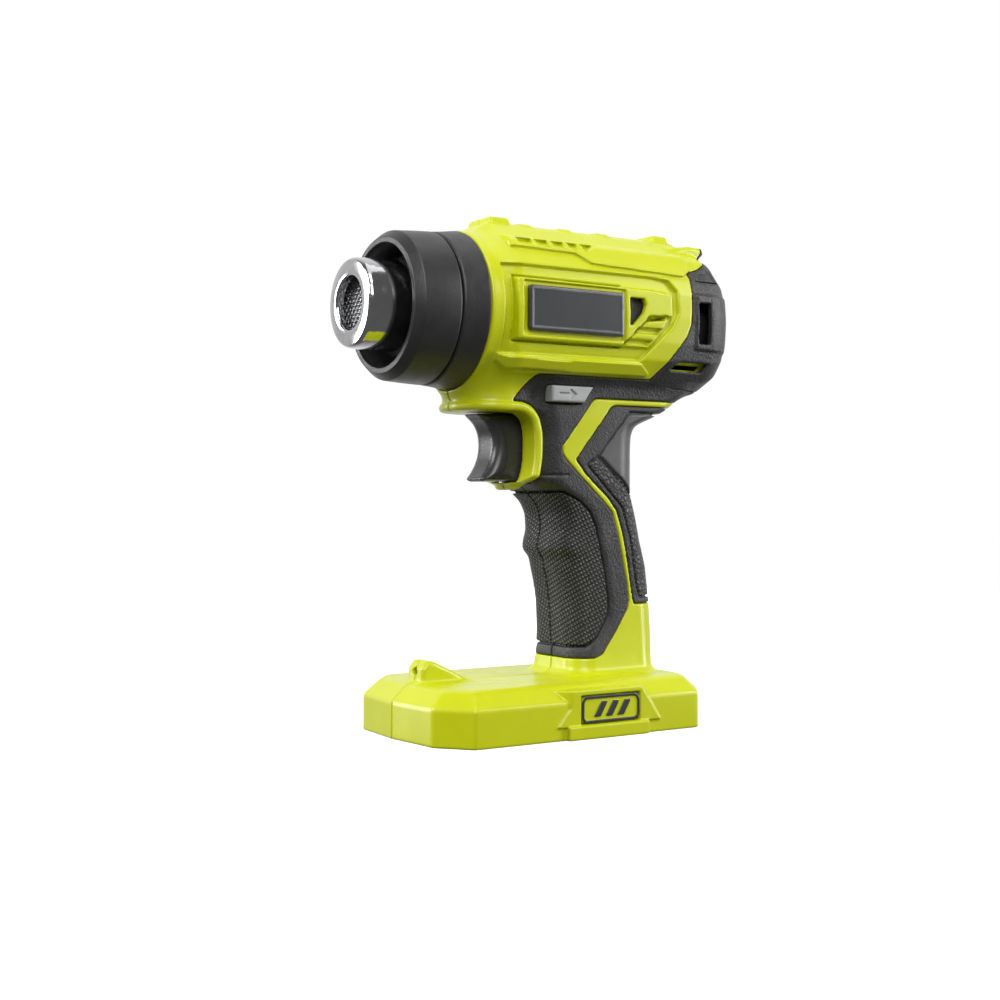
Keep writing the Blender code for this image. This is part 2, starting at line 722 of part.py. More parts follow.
def make_heater():
    """Mica sleeve, crossed former, resistance coil, cut-out and the mounting flange."""
    ring("heater_sleeve", SLEEVE_R, SLEEVE_R - 0.6, *SLEEVE_ENDS, "mica", 24)
    front, rear = FORMER_ENDS
    former = box("heater_former", (-FORMER_HALF, front, AXIS_Z - 0.5), (FORMER_HALF, rear, AXIS_Z + 0.5), "mica")
    cross = box("former_cross", (-0.5, front, AXIS_Z - FORMER_HALF), (0.5, rear, AXIS_Z + FORMER_HALF))
    boolean(former, cross, "UNION")
    turns = 8
    length = rear - front - 4.0
    points = []
    for index in range(COIL_TURNS * turns + 1):
        angle = 2 * math.pi * index / turns
        points.append((COIL_R * math.cos(angle), front + 2.0 + length * index / (COIL_TURNS * turns),
                       AXIS_Z + COIL_R * math.sin(angle)))
    wire("heater_coil", points, COIL_WIRE_R, "element")
    rod("thermal_cutout", (5.5, -60, AXIS_Z + 5.5), (5.5, -50, AXIS_Z + 5.5), 1.8, "steel", 12)
    ring("heater_flange", 27.9, 13.6, -38.6, -38.6 + FLANGE_THICK, "ceramic", 28)


# ---------------------------------------------------------------- fan and motor

def make_motor():
    """Motor can, end cap, bushes, rotor and the mount that centres it in the duct."""
    front, rear = MOTOR_ENDS
    turned("motor_can", ((3.0, front), (MOTOR_R, front), (MOTOR_R, rear - 0.8), (12.6, rear - 0.8),
                         (12.6, front + 1.4), (3.0, front + 1.4)), "steel", 24)
    ring("motor_end_cap", MOTOR_R, 3.0, rear - 0.5, rear + 1.0, "black", 24)
    ring("motor_front_bush", 2.7, SHAFT_R + GAP, front, front + 3.0, "brass", 16)
    ring("motor_rear_bush", 2.7, SHAFT_R + GAP, rear - 1.0, rear + 1.5, "brass", 16)
    ring("motor_rotor", 11.4, SHAFT_R + GAP, 5.0, 25.0, "copper", 24)
    ring("motor_commutator", 4.0, SHAFT_R + GAP, 26.0, 31.0, "copper", 16)
    rod("motor_shaft", (0, -4.0, AXIS_Z), (0, 53.0, AXIS_Z), SHAFT_R, "steel", 12)
    mount = ring("motor_mount", 16.6, MOTOR_R + GAP, 4.0, 14.0, "black", 32)
    for number in range(3):
        angle = math.radians(90 + number * 120)
        spoke = box(f"mount_spoke_{number + 1}", (15.2, 5.0, -1.2), (22.2, 13.0, 1.2))
        spoke.location = (0, 0, AXIS_Z * MM)
        spoke.rotation_euler = (0, angle, 0)
        boolean(mount, spoke, "UNION")


def make_fan():
    """The air duct and the nine-bladed impeller on the motor shaft."""
    duct = ring("air_duct", DUCT_R, DUCT_R - DUCT_WALL, DUCT_ENDS[0], DUCT_ENDS[1], "cream", 32)
    boolean(duct, box("duct_lead_slot", (-9, 27, 136), (9, 37, 146)))
    front, rear = FAN_ENDS
    fan = ring("impeller", 7.0, SHAFT_R + GAP, front, rear, "black", 27)
    for number in range(9):
        angle = 2 * math.pi * number / 9
        blade = box(f"blade_{number + 1}", (5.6, -5.2, -0.7), (FAN_R, 5.2, 0.7))
        blade.location = Vector((0, (front + rear) / 2, AXIS_Z)) * MM
        turn = Matrix.Rotation(angle, 3, "Y") @ Matrix.Rotation(math.radians(35), 3, "X")
        blade.rotation_euler = turn.to_euler()
        boolean(fan, blade, "UNION")


# ---------------------------------------------------------------- controls and electrics

def make_controls():
    """Trigger, its plunger and return spring, the switch and the lock-off button."""
    trigger = outline("trigger", TRIGGER_OUTLINE, "X", -TRIGGER_HALF, TRIGGER_HALF, "black")
    bevel(trigger, 1.2)
    height = PLUNGER_Z
    rod("switch_plunger", (0, TRIGGER_BACK + GAP, height), (0, 8.0, height), 1.9, "black", 16)
    switch = box("switch_module", (-8, 4.0, 101.5), (8, 22.0, 122.5), "black")
    boolean(switch, rod("plunger_bore", (0, 0, height), (0, 14.0, height), 2.4))
    turns = 3
    steps = 8
    front = TRIGGER_BACK + 0.7
    length = 4.0 - 0.7 - front
    points = []
    for index in range(turns * steps + 1):
        angle = 2 * math.pi * index / steps
        points.append((3.3 * math.cos(angle), front + length * index / (turns * steps),
                       height + 3.3 * math.sin(angle)))
    wire("trigger_spring", points, 0.35, "steel")
    lock = outline("lock_off_button", LOCK_OUTLINE, "X", LOCK_SLIDE - LOCK_REACH, LOCK_REACH, "silver_plastic")
    bevel(lock, 0.7)


def make_electrics():
    """Control board, heat sink, battery terminals and the internal wiring."""
    box("control_board", (-11, 26.0, 75.0), (11, 27.6, 118.0), "board")
    box("board_heat_sink", (-9, 27.9, 92.0), (9, 31.0, 114.0), "steel")
    block_top = SOCKET_CEILING + TERMINAL_HEIGHT
    block = box("battery_terminal_block", (-TERMINAL_HALF, TERMINAL_ENDS[0], SOCKET_CEILING),
                (TERMINAL_HALF, TERMINAL_ENDS[1], block_top), "black")
    land_front, land_rear, land_depth = STEM_LAND
    land = box("stem_land", (-TERMINAL_HALF, land_front, SOCKET_CEILING - land_depth),
               (TERMINAL_HALF, land_rear, SOCKET_CEILING + 1.0))
    boolean(block, land, "UNION")
    for name, x in (("battery_blade_positive", 7.0), ("battery_blade_negative", -7.0), ("battery_blade_sense", 0.0)):
        box(name, (x - 0.4, SOCKET_Y - 5, SOCKET_CEILING - BLADE_LENGTH), (x + 0.4, SOCKET_Y + 5, SOCKET_CEILING - GAP),
            "brass")
    for name, side, finish in (("positive", 1, "red_wire"), ("negative", -1, "black_wire")):
        lead = through([(side * 5, 20, block_top + GAP), (side * 5.5, 17, 84), (side * 5, 13, 94),
                        (side * 4, 12, 101.2)])
        wire(f"battery_lead_{name}", lead, 1.0, finish)
        lead = through([(side * 6, 26.8, 118.3), (side * 6.2, 26.5, 128), (side * 6, 29, 139),
                        (side * 6, 34.1, 146), (side * 6, 34.2, 152.1)])
        wire(f"motor_lead_{name}", lead, 0.9, finish)
    for name, side, finish in (("live", 1, "red_wire"), ("return", -1, "black_wire")):
        lead = through([(side * 9.4, 26.8, 118.3), (side * 9.6, 23, 130), (side * 9.2, 16, 139.2),
                        (side * 9, 6, 140.4), (side * 9, -14, 140.4), (side * 9, -35.0, 141.2)])
        wire(f"heater_lead_{name}", lead, 0.9, finish)


clear_scene()
PARTS = collection("heat_gun")
CUTTERS = collection("cutters")
inner = cavity_form()
make_housing(make_shell(inner))
make_rear_cap(inner)
make_inlet_screen()
make_skins()
make_plates()
make_screws()
make_shroud()
make_nozzle()
make_screen()
make_heater()
make_motor()
make_fan()
make_controls()
make_electrics()
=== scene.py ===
"""Looks of the cordless heat gun: moulded shells, soft grip skins, chromed outlet and controls.

The moulded forms are solids described by distance, in millimetres: a distance is negative inside
a form, so forms are joined, cut and rounded with a few small functions and then meshed on a grid.
"""
import json
import math

import bmesh
import bpy
import numpy as np
from mathutils import Matrix, Vector


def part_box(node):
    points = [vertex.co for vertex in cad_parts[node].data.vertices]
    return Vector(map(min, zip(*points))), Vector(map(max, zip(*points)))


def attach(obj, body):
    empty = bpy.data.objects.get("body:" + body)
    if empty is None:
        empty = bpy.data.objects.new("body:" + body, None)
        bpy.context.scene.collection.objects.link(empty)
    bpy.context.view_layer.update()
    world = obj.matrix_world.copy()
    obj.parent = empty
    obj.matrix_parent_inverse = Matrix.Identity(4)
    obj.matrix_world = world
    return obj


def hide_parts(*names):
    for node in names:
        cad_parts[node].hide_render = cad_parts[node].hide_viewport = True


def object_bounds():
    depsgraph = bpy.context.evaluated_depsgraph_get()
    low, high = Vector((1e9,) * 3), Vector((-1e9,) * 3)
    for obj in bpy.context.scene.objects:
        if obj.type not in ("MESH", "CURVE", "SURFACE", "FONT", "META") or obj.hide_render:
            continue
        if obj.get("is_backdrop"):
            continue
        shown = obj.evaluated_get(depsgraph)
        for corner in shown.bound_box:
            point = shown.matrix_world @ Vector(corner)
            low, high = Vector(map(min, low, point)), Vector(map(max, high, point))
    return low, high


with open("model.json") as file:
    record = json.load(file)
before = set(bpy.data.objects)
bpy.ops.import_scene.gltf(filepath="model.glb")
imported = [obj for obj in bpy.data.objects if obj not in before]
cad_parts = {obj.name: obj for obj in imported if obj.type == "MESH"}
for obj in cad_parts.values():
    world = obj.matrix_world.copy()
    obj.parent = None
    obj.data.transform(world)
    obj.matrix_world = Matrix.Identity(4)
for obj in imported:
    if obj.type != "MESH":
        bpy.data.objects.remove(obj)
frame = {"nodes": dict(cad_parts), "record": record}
CAD_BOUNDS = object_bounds()

MM = 0.001
GRID = 0.5  # spacing of the grid that the large forms are meshed on
GRID_LOW, GRID_HIGH = (-1.0, -86.0, -2.0), (42.5, 86.0, 206.0)
FINE = 0.25  # spacing for the small controls
SEAM = 0.15  # half the gap between neighbouring mouldings
SIDES = (("left", False), ("right", True))  # name, and whether it is the left side's mirror


def middle(node):
    """Centre of a CAD node, in millimetres."""
    low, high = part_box(node)
    return (Vector(low) + Vector(high)) / 2 / MM


def span(node, axis):
    """Lowest and highest value of a CAD node along an axis, in millimetres."""
    low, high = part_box(node)
    return low[axis] / MM, high[axis] / MM


AXIS_Z = middle("motor_shaft").z
TIP, NOZZLE_END = span("nozzle_tube", 1)
NOZZLE_R = 17.25
NOZZLE_BORE_R = 16.35
SHOULDER_R = 19.6
SHROUD_BORE_R = 23.8
SHROUD_FRONT, SHROUD_SEAM = span("shroud_front", 1)
BODY_FRONT = span("shroud_rear", 1)[1] + 2 * SEAM
BODY_FRONT_R = 31.2
BODY_REAR = span("rear_cap", 1)[1]
FOOT_FRONT = span("left_housing", 1)[0]
FOOT_HALF = span("left_housing", 0)[1]
WALL = 2.6
GRIP_WALL = 4.6
SKIN = 2.0

# ---------------- outlines, as (y, z) unless said otherwise

BODY_SECTION = (  # (x, z) down the left half
    (0.0, 200.6), (7.2, 200.6), (9.8, 199.2), (15.6, 194.6), (22.6, 190.8), (25.6, 186.8),
    (30.0, 181.6), (31.9, 175.0), (32.5, 165.4), (31.9, 155.0), (30.2, 147.6), (25.0, 140.6),
    (14.0, 135.6), (0.0, 134.0),
)
# height, front, rear, half width, corner radius
GRIP_TABLE = (
    (14.0, 6.0, 52.6, 21.6, 9.0), (18.0, 8.0, 51.9, 20.0, 9.0), (22.0, 9.0, 51.7, 18.9, 9.5),
    (28.0, 9.6, 52.0, 18.2, 10.0), (38.0, 9.2, 52.8, 17.6, 11.0), (50.0, 8.4, 52.2, 17.5, 11.5),
    (58.0, 7.2, 50.9, 17.6, 11.5), (64.0, 5.8, 50.0, 17.8, 11.5), (68.5, 5.0, 48.6, 18.0, 11.5),
    (71.0, 2.2, 47.6, 18.1, 11.0), (75.0, 2.6, 46.3, 18.2, 11.0), (79.0, 4.0, 45.4, 18.3, 11.0),
    (86.0, 3.6, 43.7, 18.4, 11.0), (91.0, 1.2, 42.0, 18.6, 11.0), (95.0, -3.6, 41.1, 18.8, 11.0),
    (99.0, -8.0, 40.9, 19.0, 11.0), (112.0, -9.6, 40.4, 19.7, 11.0), (118.0, -10.0, 40.4, 20.2, 11.0),
    (122.0, -11.0, 42.0, 20.6, 11.0), (125.5, -12.0, 51.5, 20.8, 11.0), (129.5, -13.0, 59.5, 20.9, 11.0),
    (132.5, -13.5, 63.5, 21.0, 12.0), (135.5, -14.0, 69.0, 21.6, 12.0), (141.0, -14.0, 68.0, 23.0, 12.0),
)
BODY_BLEND = 12.0  # length over which the circle behind the shroud becomes the body's section
TOP_FLAT = 198.0
TAIL_RISE = 6.0  # how much higher than the flat top the tail may stand
TAIL_HALF = 15.0
REAR_DOME = 0.003
GRIP_LOW, GRIP_HIGH = 14.0, 141.0
SHOULDER_Z = 14.4
FOOT_TOP = 20.9
PANEL_LOW, PANEL_TOP = 5.0, 18.9
LEDGE = ((-11.4, 27.5), (-6.0, 5.3))
LEDGE_PROUD = 1.0
DECK_LOW, DECK_TOP = 15.0, 24.0
CAP_LINE = (
    (41.0, 140.4), (54.6, 157.6), (57.0, 163.0), (57.6, 173.0), (58.0, 184.6), (65.4, 186.8),
    (70.5, 189.4), (74.2, 193.0), (76.6, 196.6),
)
# dark soft skin: under the body, round the rim behind the trigger, and down the front of the grip
FRONT_SKIN = (
    (-40.0, 27.6), (18.6, 27.8), (22.6, 29.4), (29.2, 37.7), (35.4, 47.1), (36.2, 51.0), (35.2, 58.0),
    (33.0, 66.6), (30.0, 78.1), (27.2, 86.4), (22.1, 91.3), (11.4, 100.4), (3.0, 107.9), (1.4, 110.4),
    (1.4, 112.8), (15.5, 131.2), (17.0, 132.0), (63.0, 132.0), (100.0, 131.0), (100.0, 137.4), (56.0, 137.4),
    (41.0, 140.4), (-13.4, 140.4), (-21.0, 130.4), (-21.0, 128.4), (-15.8, 128.0), (-10.8, 124.4),
    (-9.4, 118.0), (-9.2, 112.0), (-9.8, 104.6), (-11.4, 99.0), (-13.0, 95.4), (-15.0, 93.8), (-40.0, 93.0),
)
REAR_SKIN = (
    (38.8, 49.0), (90.0, 49.0), (90.0, 129.6), (27.0, 129.6), (24.6, 128.8), (8.2, 107.6), (13.2, 101.8),
    (24.0, 92.9), (29.1, 87.3), (32.2, 78.4), (35.1, 66.7), (37.3, 55.0), (38.1, 50.6),
)
GRIP_PAD = (
    (-40.0, 32.6), (15.0, 32.6), (20.0, 36.4), (25.4, 44.8), (25.6, 51.0), (23.8, 62.3), (21.6, 70.8),
    (18.8, 81.0), (15.8, 86.9), (10.2, 91.4), (3.4, 94.6), (-40.0, 94.6),
)
REAR_PAD = (
    (41.6, 51.8), (90.0, 51.8), (90.0, 60.0), (60.0, 76.0), (40.8, 91.2), (28.6, 100.4), (18.6, 108.8),
    (14.0, 105.4), (24.2, 95.9), (32.2, 88.3), (36.4, 75.7), (40.0, 56.4),
)
WEDGE = ((19.6, 109.0), (29.2, 101.3), (41.6, 92.2), (61.0, 77.0), (90.0, 77.0), (90.0, 126.8), (34.0, 126.8))
RIM_PATH = (
    (-39.8, 127.9), (-22.0, 127.9), (-15.8, 127.7), (-10.8, 124.2), (-9.4, 118.4), (-9.2, 112.0),
    (-9.8, 104.6), (-11.4, 99.2), (-13.2, 96.6), (-17.4, 96.4),
)
RIM_R = 1.8
CHIN = ((-50.0, 126.4), (-8.0, 126.4), (-8.0, 150.0), (-50.0, 150.0))
CHIN_HALF = 18.4
CHIN_CORNER = 17.0
CHIN_FRONT = -38.9
LIP_HALF = 13.0
LIP_CORNER = 9.0
LIP_FRONT = -13.8
LUG = (
    (-55.4, 16.0), (-28.0, 16.0), (-32.0, 21.0), (-47.6, 28.6), (-49.8, 29.5), (-52.4, 29.4), (-54.6, 26.6),
)
LUG_HALF = 6.0
LUG_HOLE_Z = 25.2
LUG_HOLE_R = 1.6
LOCK = ((-6.8, 129.8), (8.8, 129.8), (13.4, 136.2), (-6.8, 136.2))
LOCK_GAP = 0.35
ARROW_SHAFT = ((-3.4, 2.4), (132.55, 133.45))
ARROW_HEAD = ((2.0, 130.9), (5.2, 133.0), (2.0, 135.1))

# Raised and sunk areas on the side of the body: outline, height, width of the slope round it
BEZEL = (
    (-28.4, 152.4), (21.6, 152.4), (33.6, 163.6), (46.6, 165.4), (46.6, 174.6), (36.0, 175.6), (-28.4, 176.0),
)
SIDE_FEATURES = (
    (((-33.0, 147.2), (32.0, 147.2), (47.0, 161.6), (49.8, 167.0), (49.8, 176.0), (46.0, 180.2),
      (38.0, 181.0), (-33.0, 181.0)), -1.9, 1.0),
    (BEZEL, 2.6, 0.8),
    (((22.6, 152.4), (34.0, 163.0), (44.6, 164.6), (41.4, 158.8), (35.4, 152.4)), 1.9, 0.7),
    (((33.8, 164.8), (43.6, 165.6), (42.4, 163.8), (32.6, 162.8)), -2.6, 0.5),
    (((29.4, 160.3), (41.6, 160.3), (40.0, 158.0), (27.0, 158.0)), -2.0, 0.5),
    (((24.2, 155.4), (36.8, 155.4), (35.2, 153.2), (21.8, 153.2)), -2.0, 0.5),
    (((-25.6, 154.2), (22.8, 154.2), (22.8, 174.8), (-25.6, 174.8)), -1.2, 0.6),
    (((-34.0, 144.4), (-30.0, 141.6), (-4.5, 141.4), (0.0, 141.0), (37.0, 141.2), (38.4, 142.2),
      (32.5, 145.8), (0.5, 146.0), (-4.0, 145.4), (-29.5, 146.0), (-34.0, 147.2)), 1.7, 0.8),
    (((59.4, 153.0), (59.4, 175.6), (84.0, 175.6), (84.0, 152.4)), 0.9, 0.7),
    (((61.4, 181.6), (73.0, 181.2), (73.0, 187.0), (66.0, 186.0)), -0.9, 0.6),
    (((-27.0, 188.6), (3.0, 188.2), (9.0, 184.2), (54.0, 182.6), (60.0, 186.0), (60.0, 193.6),
      (-27.0, 193.6)), 1.3, 0.8),
    (((-22.5, 189.8), (9.5, 189.8), (14.0, 192.6), (-22.5, 192.6)), -1.5, 0.6),
)
TAIL = (
    (58.0, 190.0), (73.6, 191.4), (76.0, 193.6), (78.6, 196.0), (77.6, 198.6), (71.0, 198.9), (58.0, 197.0),
)
BEZEL_GROOVE = 0.8  # depth of the shadow line round the bezel
TOP_BANDS = ((-25.5, -16.5, 2.2), (56.0, 63.5, 2.4))  # raised bands across the top: front, rear, height
TOP_CHEVRONS = (-13.0, 6.0, 25.0)  # where the slanted ribs across the top start
POD_RIBS = (-14.6, -7.0, 0.6, 7.2)  # ribs that cross the slot above the body's side
WINDOW = ((24.9, 160.9), (26.9, 160.9), (31.6, 166.0), (33.0, 169.3), (32.0, 171.9), (24.9, 171.9))
WINDOW_SPLIT = 27.4  # the window is deep in front of this and shallow behind it
PLATE = ((-23.8, 21.4), (155.8, 173.2))
PLATE_CORNER = 1.4
BADGE = ((-4.9, 23.0), (6.0, 16.5))
BADGE_CORNER = 3.0
BADGE_BARS = (1.0, 6.6, 12.2)  # where the badge's slanted bars start
BOSS_PROUD = 0.9
SCREW_BOSS_R = 4.2
SCREW_HEAD = 2.4  # height of a clamshell screw's head
SCREW_HEAD_HOLE_R = 3.0
SCREW_HOLE_R = 1.8
CAP_WINDOW = ((60.9, 66.4), (155.8, 171.8))
LOW_SLOT = ((52.6, 147.9), (68.0, 147.7), (65.8, 144.0), (48.9, 144.2))
REAR_SLOTS = 5
REAR_SLOT_PITCH = 7.0
REAR_SLOT_HALF = 12.0
CAP_GROOVE_Z = 181.4
TRIGGER_BACK = ((-10.5, 98.8), (-4.4, 101.5), (-4.0, 104.0), (-4.0, 125.4), (-29.8, 125.4))
TRIGGER_FRONT = (
    (-29.8, 125.4), (-27.6, 123.8), (-24.6, 121.4), (-22.8, 118.0), (-22.0, 113.6), (-22.6, 109.0),
    (-24.2, 105.0), (-26.6, 101.4), (-28.2, 99.6), (-26.9, 98.8),
)
TRIGGER_PAD = (
    (-40.0, 124.0), (-27.0, 123.6), (-21.4, 120.6), (-18.2, 115.8), (-17.4, 110.4), (-18.2, 104.6),
    (-20.0, 101.2), (-19.4, 97.0), (-40.0, 97.0),
)
TRIGGER_HALF = 8.8
TRIGGER_SLOT = ((-9.2, 9.2), (98.4, 125.8))  # as (x, z)
TRIGGER_CORNER = 5.0
SPRING_POCKET = 5.6  # depth of the hole in the trigger for its spring

# ---------------- viewpoint and light, in metres

CAMERA_AZIMUTH = 56.9
CAMERA_ELEVATION = -0.08
CAMERA_ROLL = 0.05
CAMERA_DISTANCE = 0.60048
CAMERA_TARGET = (0.0, -0.0155, 0.09142)
CAMERA_LENS = 54.07
AMBIENT = 0.15  # how strongly the surroundings light the tool from all round
BACKDROP = 1.0  # and from behind it
FLOOR_GLOW = 0.7
LIGHT_AIM = (0.0, 0.0, 0.1)
SOFTBOXES = (  # name, place, size, power in watts
    ("key", (-0.25, -1.15, 0.75), (0.4, 0.7), 12.0),
    ("strip", (-0.95, -0.85, 0.25), (0.18, 0.8), 7.0),
    ("side", (1.05, -0.55, 0.75), (0.7, 0.5), 8.5),
    ("high", (0.65, -0.25, 1.15), (0.5, 0.5), 5.0),
    ("top", (0.1, 0.1, 1.2), (0.9, 0.5), 1.5),
    ("rear", (0.65, 1.0, 0.35), (0.3, 0.9), 10.0),
    ("glint", (0.80, 0.66, 0.67), (0.16, 0.16), 1.2),
)


# ---------------- forms by distance

def grid_axes(low, high, step):
    """Three broadcastable coordinate arrays that cover a box."""
    axes = [np.arange(a, b + step, step, dtype=np.float32) for a, b in zip(low, high)]
    return axes[0][:, None, None], axes[1][None, :, None], axes[2][None, None, :]


def nearest_edge(edges, u, v):
    """Distance to the nearest of some straight edges on a flat grid."""
    nearest = np.full(u.shape, 1e9, dtype=np.float32)
    for (ax, ay), (bx, by) in edges:
        ex, ey = bx - ax, by - ay
        along = np.clip(((u - ax) * ex + (v - ay) * ey) / (ex * ex + ey * ey), 0, 1)
        nearest = np.minimum(nearest, (u - ax - ex * along) ** 2 + (v - ay - ey * along) ** 2)
    return np.sqrt(nearest)


def polygon(points, u, v):
    """Signed distance to a closed outline on a flat grid."""
    u, v = np.broadcast_arrays(u, v)
    edges = list(zip(points, points[1:] + points[:1]))
    odd = np.zeros(u.shape, dtype=bool)
    for (ax, ay), (bx, by) in edges:
        if by != ay:
            odd ^= ((v >= ay) != (v >= by)) & (u < ax + (bx - ax) * (v - ay) / (by - ay))
    return np.where(odd, -1, 1).astype(np.float32) * nearest_edge(edges, u, v)


def path_distance(points, u, v):
    """Distance to an open line on a flat grid."""
    return nearest_edge(zip(points, points[1:]), *np.broadcast_arrays(u, v))


def both(a, b, radius=0.0):
    """What lies in both forms; the edge where they meet is rounded."""
    if not radius:
        return np.maximum(a, b)
    corner = np.hypot(np.maximum(a + radius, 0), np.maximum(b + radius, 0))
    return np.minimum(np.maximum(a, b), -radius) + corner


def either(a, b, radius=0.0):
    """Both forms joined, with a fillet between them."""
    if not radius:
        return np.minimum(a, b)
    corner = np.hypot(np.maximum(radius - a, 0), np.maximum(radius - b, 0))
    return np.maximum(np.minimum(a, b), radius) - corner


def without(a, b, radius=0.0):
    """The first form with the second cut out."""
    return both(a, -b, radius)


def block(u, v, us, vs):
    """Distance to an upright rectangle on a flat grid."""
    du = np.abs(u - sum(us) / 2) - (us[1] - us[0]) / 2
    dv = np.abs(v - sum(vs) / 2) - (vs[1] - vs[0]) / 2
    return np.minimum(np.maximum(du, dv), 0) + np.hypot(np.maximum(du, 0), np.maximum(dv, 0))


def rounded_block(u, v, spans, corner):
    """Distance to an upright rectangle with rounded corners."""
    (u_low, u_high), (v_low, v_high) = spans
    return block(u, v, (u_low + corner, u_high - corner), (v_low + corner, v_high - corner)) - corner


def step_in(distance, width):
    """1 well inside an outline and 0 well outside it, with a smooth slope of a width."""
    t = np.clip(0.5 - distance / width, 0, 1)
    return t * t * (3 - 2 * t)


def eased(table, z, column, blur=3.0):
    """One column of a table of heights as a smooth curve along z."""
    fine = np.arange(table[0][0] - 20, table[-1][0] + 20, 0.5)
    values = np.interp(fine, [row[0] for row in table], [row[column] for row in table])
    window = np.hanning(int(2 * blur / 0.5) + 1)[1:-1]
    pad = len(window) // 2
    values = np.convolve(np.pad(values, pad, mode="edge"), window / window.sum(), mode="valid")
    return np.interp(z, fine, values).astype(np.float32)


CORNERS = [(i, j, k) for i in (0, 1) for j in (0, 1) for k in (0, 1)]
EDGES = [(a, b) for a in range(8) for b in range(a + 1, 8)
         if sum(abs(p - q) for p, q in zip(CORNERS[a], CORNERS[b])) == 1]


def net(distance, origin, step):
    """Vertices and quads of the surface where a distance is zero, one vertex for each crossed cell."""
    inside = distance < 0
    count = np.zeros([n - 1 for n in distance.shape], dtype=np.int8)
    for i, j, k in CORNERS:
        count += inside[i:i - 1 or None, j:j - 1 or None, k:k - 1 or None]
    active = (count > 0) & (count < 8)
    cells = np.argwhere(active)
    corner_values = np.stack([distance[cells[:, 0] + i, cells[:, 1] + j, cells[:, 2] + k]
                              for i, j, k in CORNERS], axis=1)
    total = np.zeros((len(cells), 3))
    crossed = np.zeros(len(cells))
    for a, b in EDGES:
        va, vb = corner_values[:, a], corner_values[:, b]
        hit = (va < 0) != (vb < 0)
        along = np.where(hit, va / np.where(hit, va - vb, 1), 0)[:, None]
        point = np.array(CORNERS[a]) + along * (np.array(CORNERS[b]) - np.array(CORNERS[a]))
        total += point * hit[:, None]
        crossed += hit
    vertices = (cells + total / crossed[:, None]) * step + np.array(origin)
    ids = np.full(active.shape, -1, dtype=np.int64)
    ids[active] = np.arange(len(cells))
    quads = []
    for axis in range(3):
        u, v = (axis + 1) % 3, (axis + 2) % 3
        low = [slice(1, -1)] * 3
        high = [slice(1, -1)] * 3
        low[axis] = slice(0, -1)
        high[axis] = slice(1, None)
        first, second = inside[tuple(low)], inside[tuple(high)]
        at = np.argwhere(first != second)
        outward = first[first != second]
        shift = np.ones(3, dtype=int)
        shift[axis] = 0
        at = at + shift
        around = []
        for du, dv in ((-1, -1), (0, -1), (0, 0), (-1, 0)):
            cell = at.copy()
            cell[:, u] += du
            cell[:, v] += dv
            around.append(ids[cell[:, 0], cell[:, 1], cell[:, 2]])
        quad = np.stack(around, axis=1)
        quad[~outward] = quad[~outward][:, ::-1]
        quads.append(quad)
    return vertices, np.concatenate(quads)


def placed(name, data):
    """A new object in the scene."""
    made = bpy.data.objects.new(name, data)
    bpy.context.scene.collection.objects.link(made)
    return made


def mesh_piece(name, vertices, quads, mirror=False):
    """A smooth-shaded object from a net, in metres; mirrored to the right side if asked."""
    if mirror:
        vertices = vertices * np.array([-1, 1, 1])
        quads = quads[:, ::-1]
    mesh = bpy.data.meshes.new(name)
    mesh.vertices.add(len(vertices))
    mesh.vertices.foreach_set("co", (vertices * MM).astype(np.float32).ravel())
    mesh.loops.add(quads.size)
    mesh.loops.foreach_set("vertex_index", quads.astype(np.int32).ravel())
    mesh.polygons.add(len(quads))
    mesh.polygons.foreach_set("loop_start", np.arange(0, quads.size, 4, dtype=np.int32))
    mesh.update(calc_edges=True)
    mesh.shade_smooth()
    return placed(name, mesh)


def piece_from(name, distance, low, step, mirror=False):
    """Mesh one form and make it an object, cropped to where it is solid."""
    solid = distance < 0
    bounds = []
    for axis in range(3):
        hit = np.flatnonzero(solid.any(axis=tuple(a for a in range(3) if a != axis)))
        bounds.append((max(hit[0] - 2, 0), hit[-1] + 3))
    crop = tuple(slice(a, b) for a, b in bounds)
    origin = [corner + a * step for corner, (a, _) in zip(low, bounds)]
    return mesh_piece(name, *net(distance[crop], origin, step), mirror)


def pair(name, form, low):
    """A small form on the left side and mirrored on the right."""
    for side, mirror in SIDES:
        yield side, piece_from(f"visual_{side}_{name}", form, low, FINE, mirror)


def stands_for(piece, node, body="root"):
    """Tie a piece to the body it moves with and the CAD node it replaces."""
    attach(piece, body)
    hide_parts(node)


def object_of(bm, name):
    """A smooth-shaded object from an edited mesh."""
    mesh = bpy.data.meshes.new(name)
    bm.to_mesh(mesh)
    bm.free()
    mesh.shade_smooth()
    return placed(name, mesh)


def places(collection, attribute):
    """Vertex or face-centre positions in millimetres, brought over to the left side."""
    found = np.empty(len(collection) * 3, dtype=np.float32)
    collection.foreach_get(attribute, found)
    found = found.reshape(-1, 3) / MM
    found[:, 0] = np.abs(found[:, 0])
    return found


def mirrored_section(points):
    """The whole outline from its left half."""
    return points + tuple((-x, z) for x, z in reversed(points[1:-1]))


def softened(flat, width, axes):
    """A flat field with its creases rounded over a width, in millimetres."""
    taps = np.hanning(int(2 * width / GRID) + 3)[1:-1]
    taps = (taps / taps.sum()).astype(np.float32)
    pad = len(taps) // 2
    for axis in axes:
        edge = [(0, 0)] * flat.ndim
        edge[axis] = (pad, pad)
        wide = np.pad(flat, edge, mode="edge")
        flat = sum(tap * np.take(wide, range(k, k + flat.shape[axis]), axis=axis)
                   for k, tap in enumerate(taps))
    return flat.astype(np.float32)


def soft_outline(points, y, z, width=0.5):
    """Distance to an outline seen from the side, with its corners eased."""
    return softened(polygon(points, y, z), width, (1, 2))


# ---------------- the tool's outer form

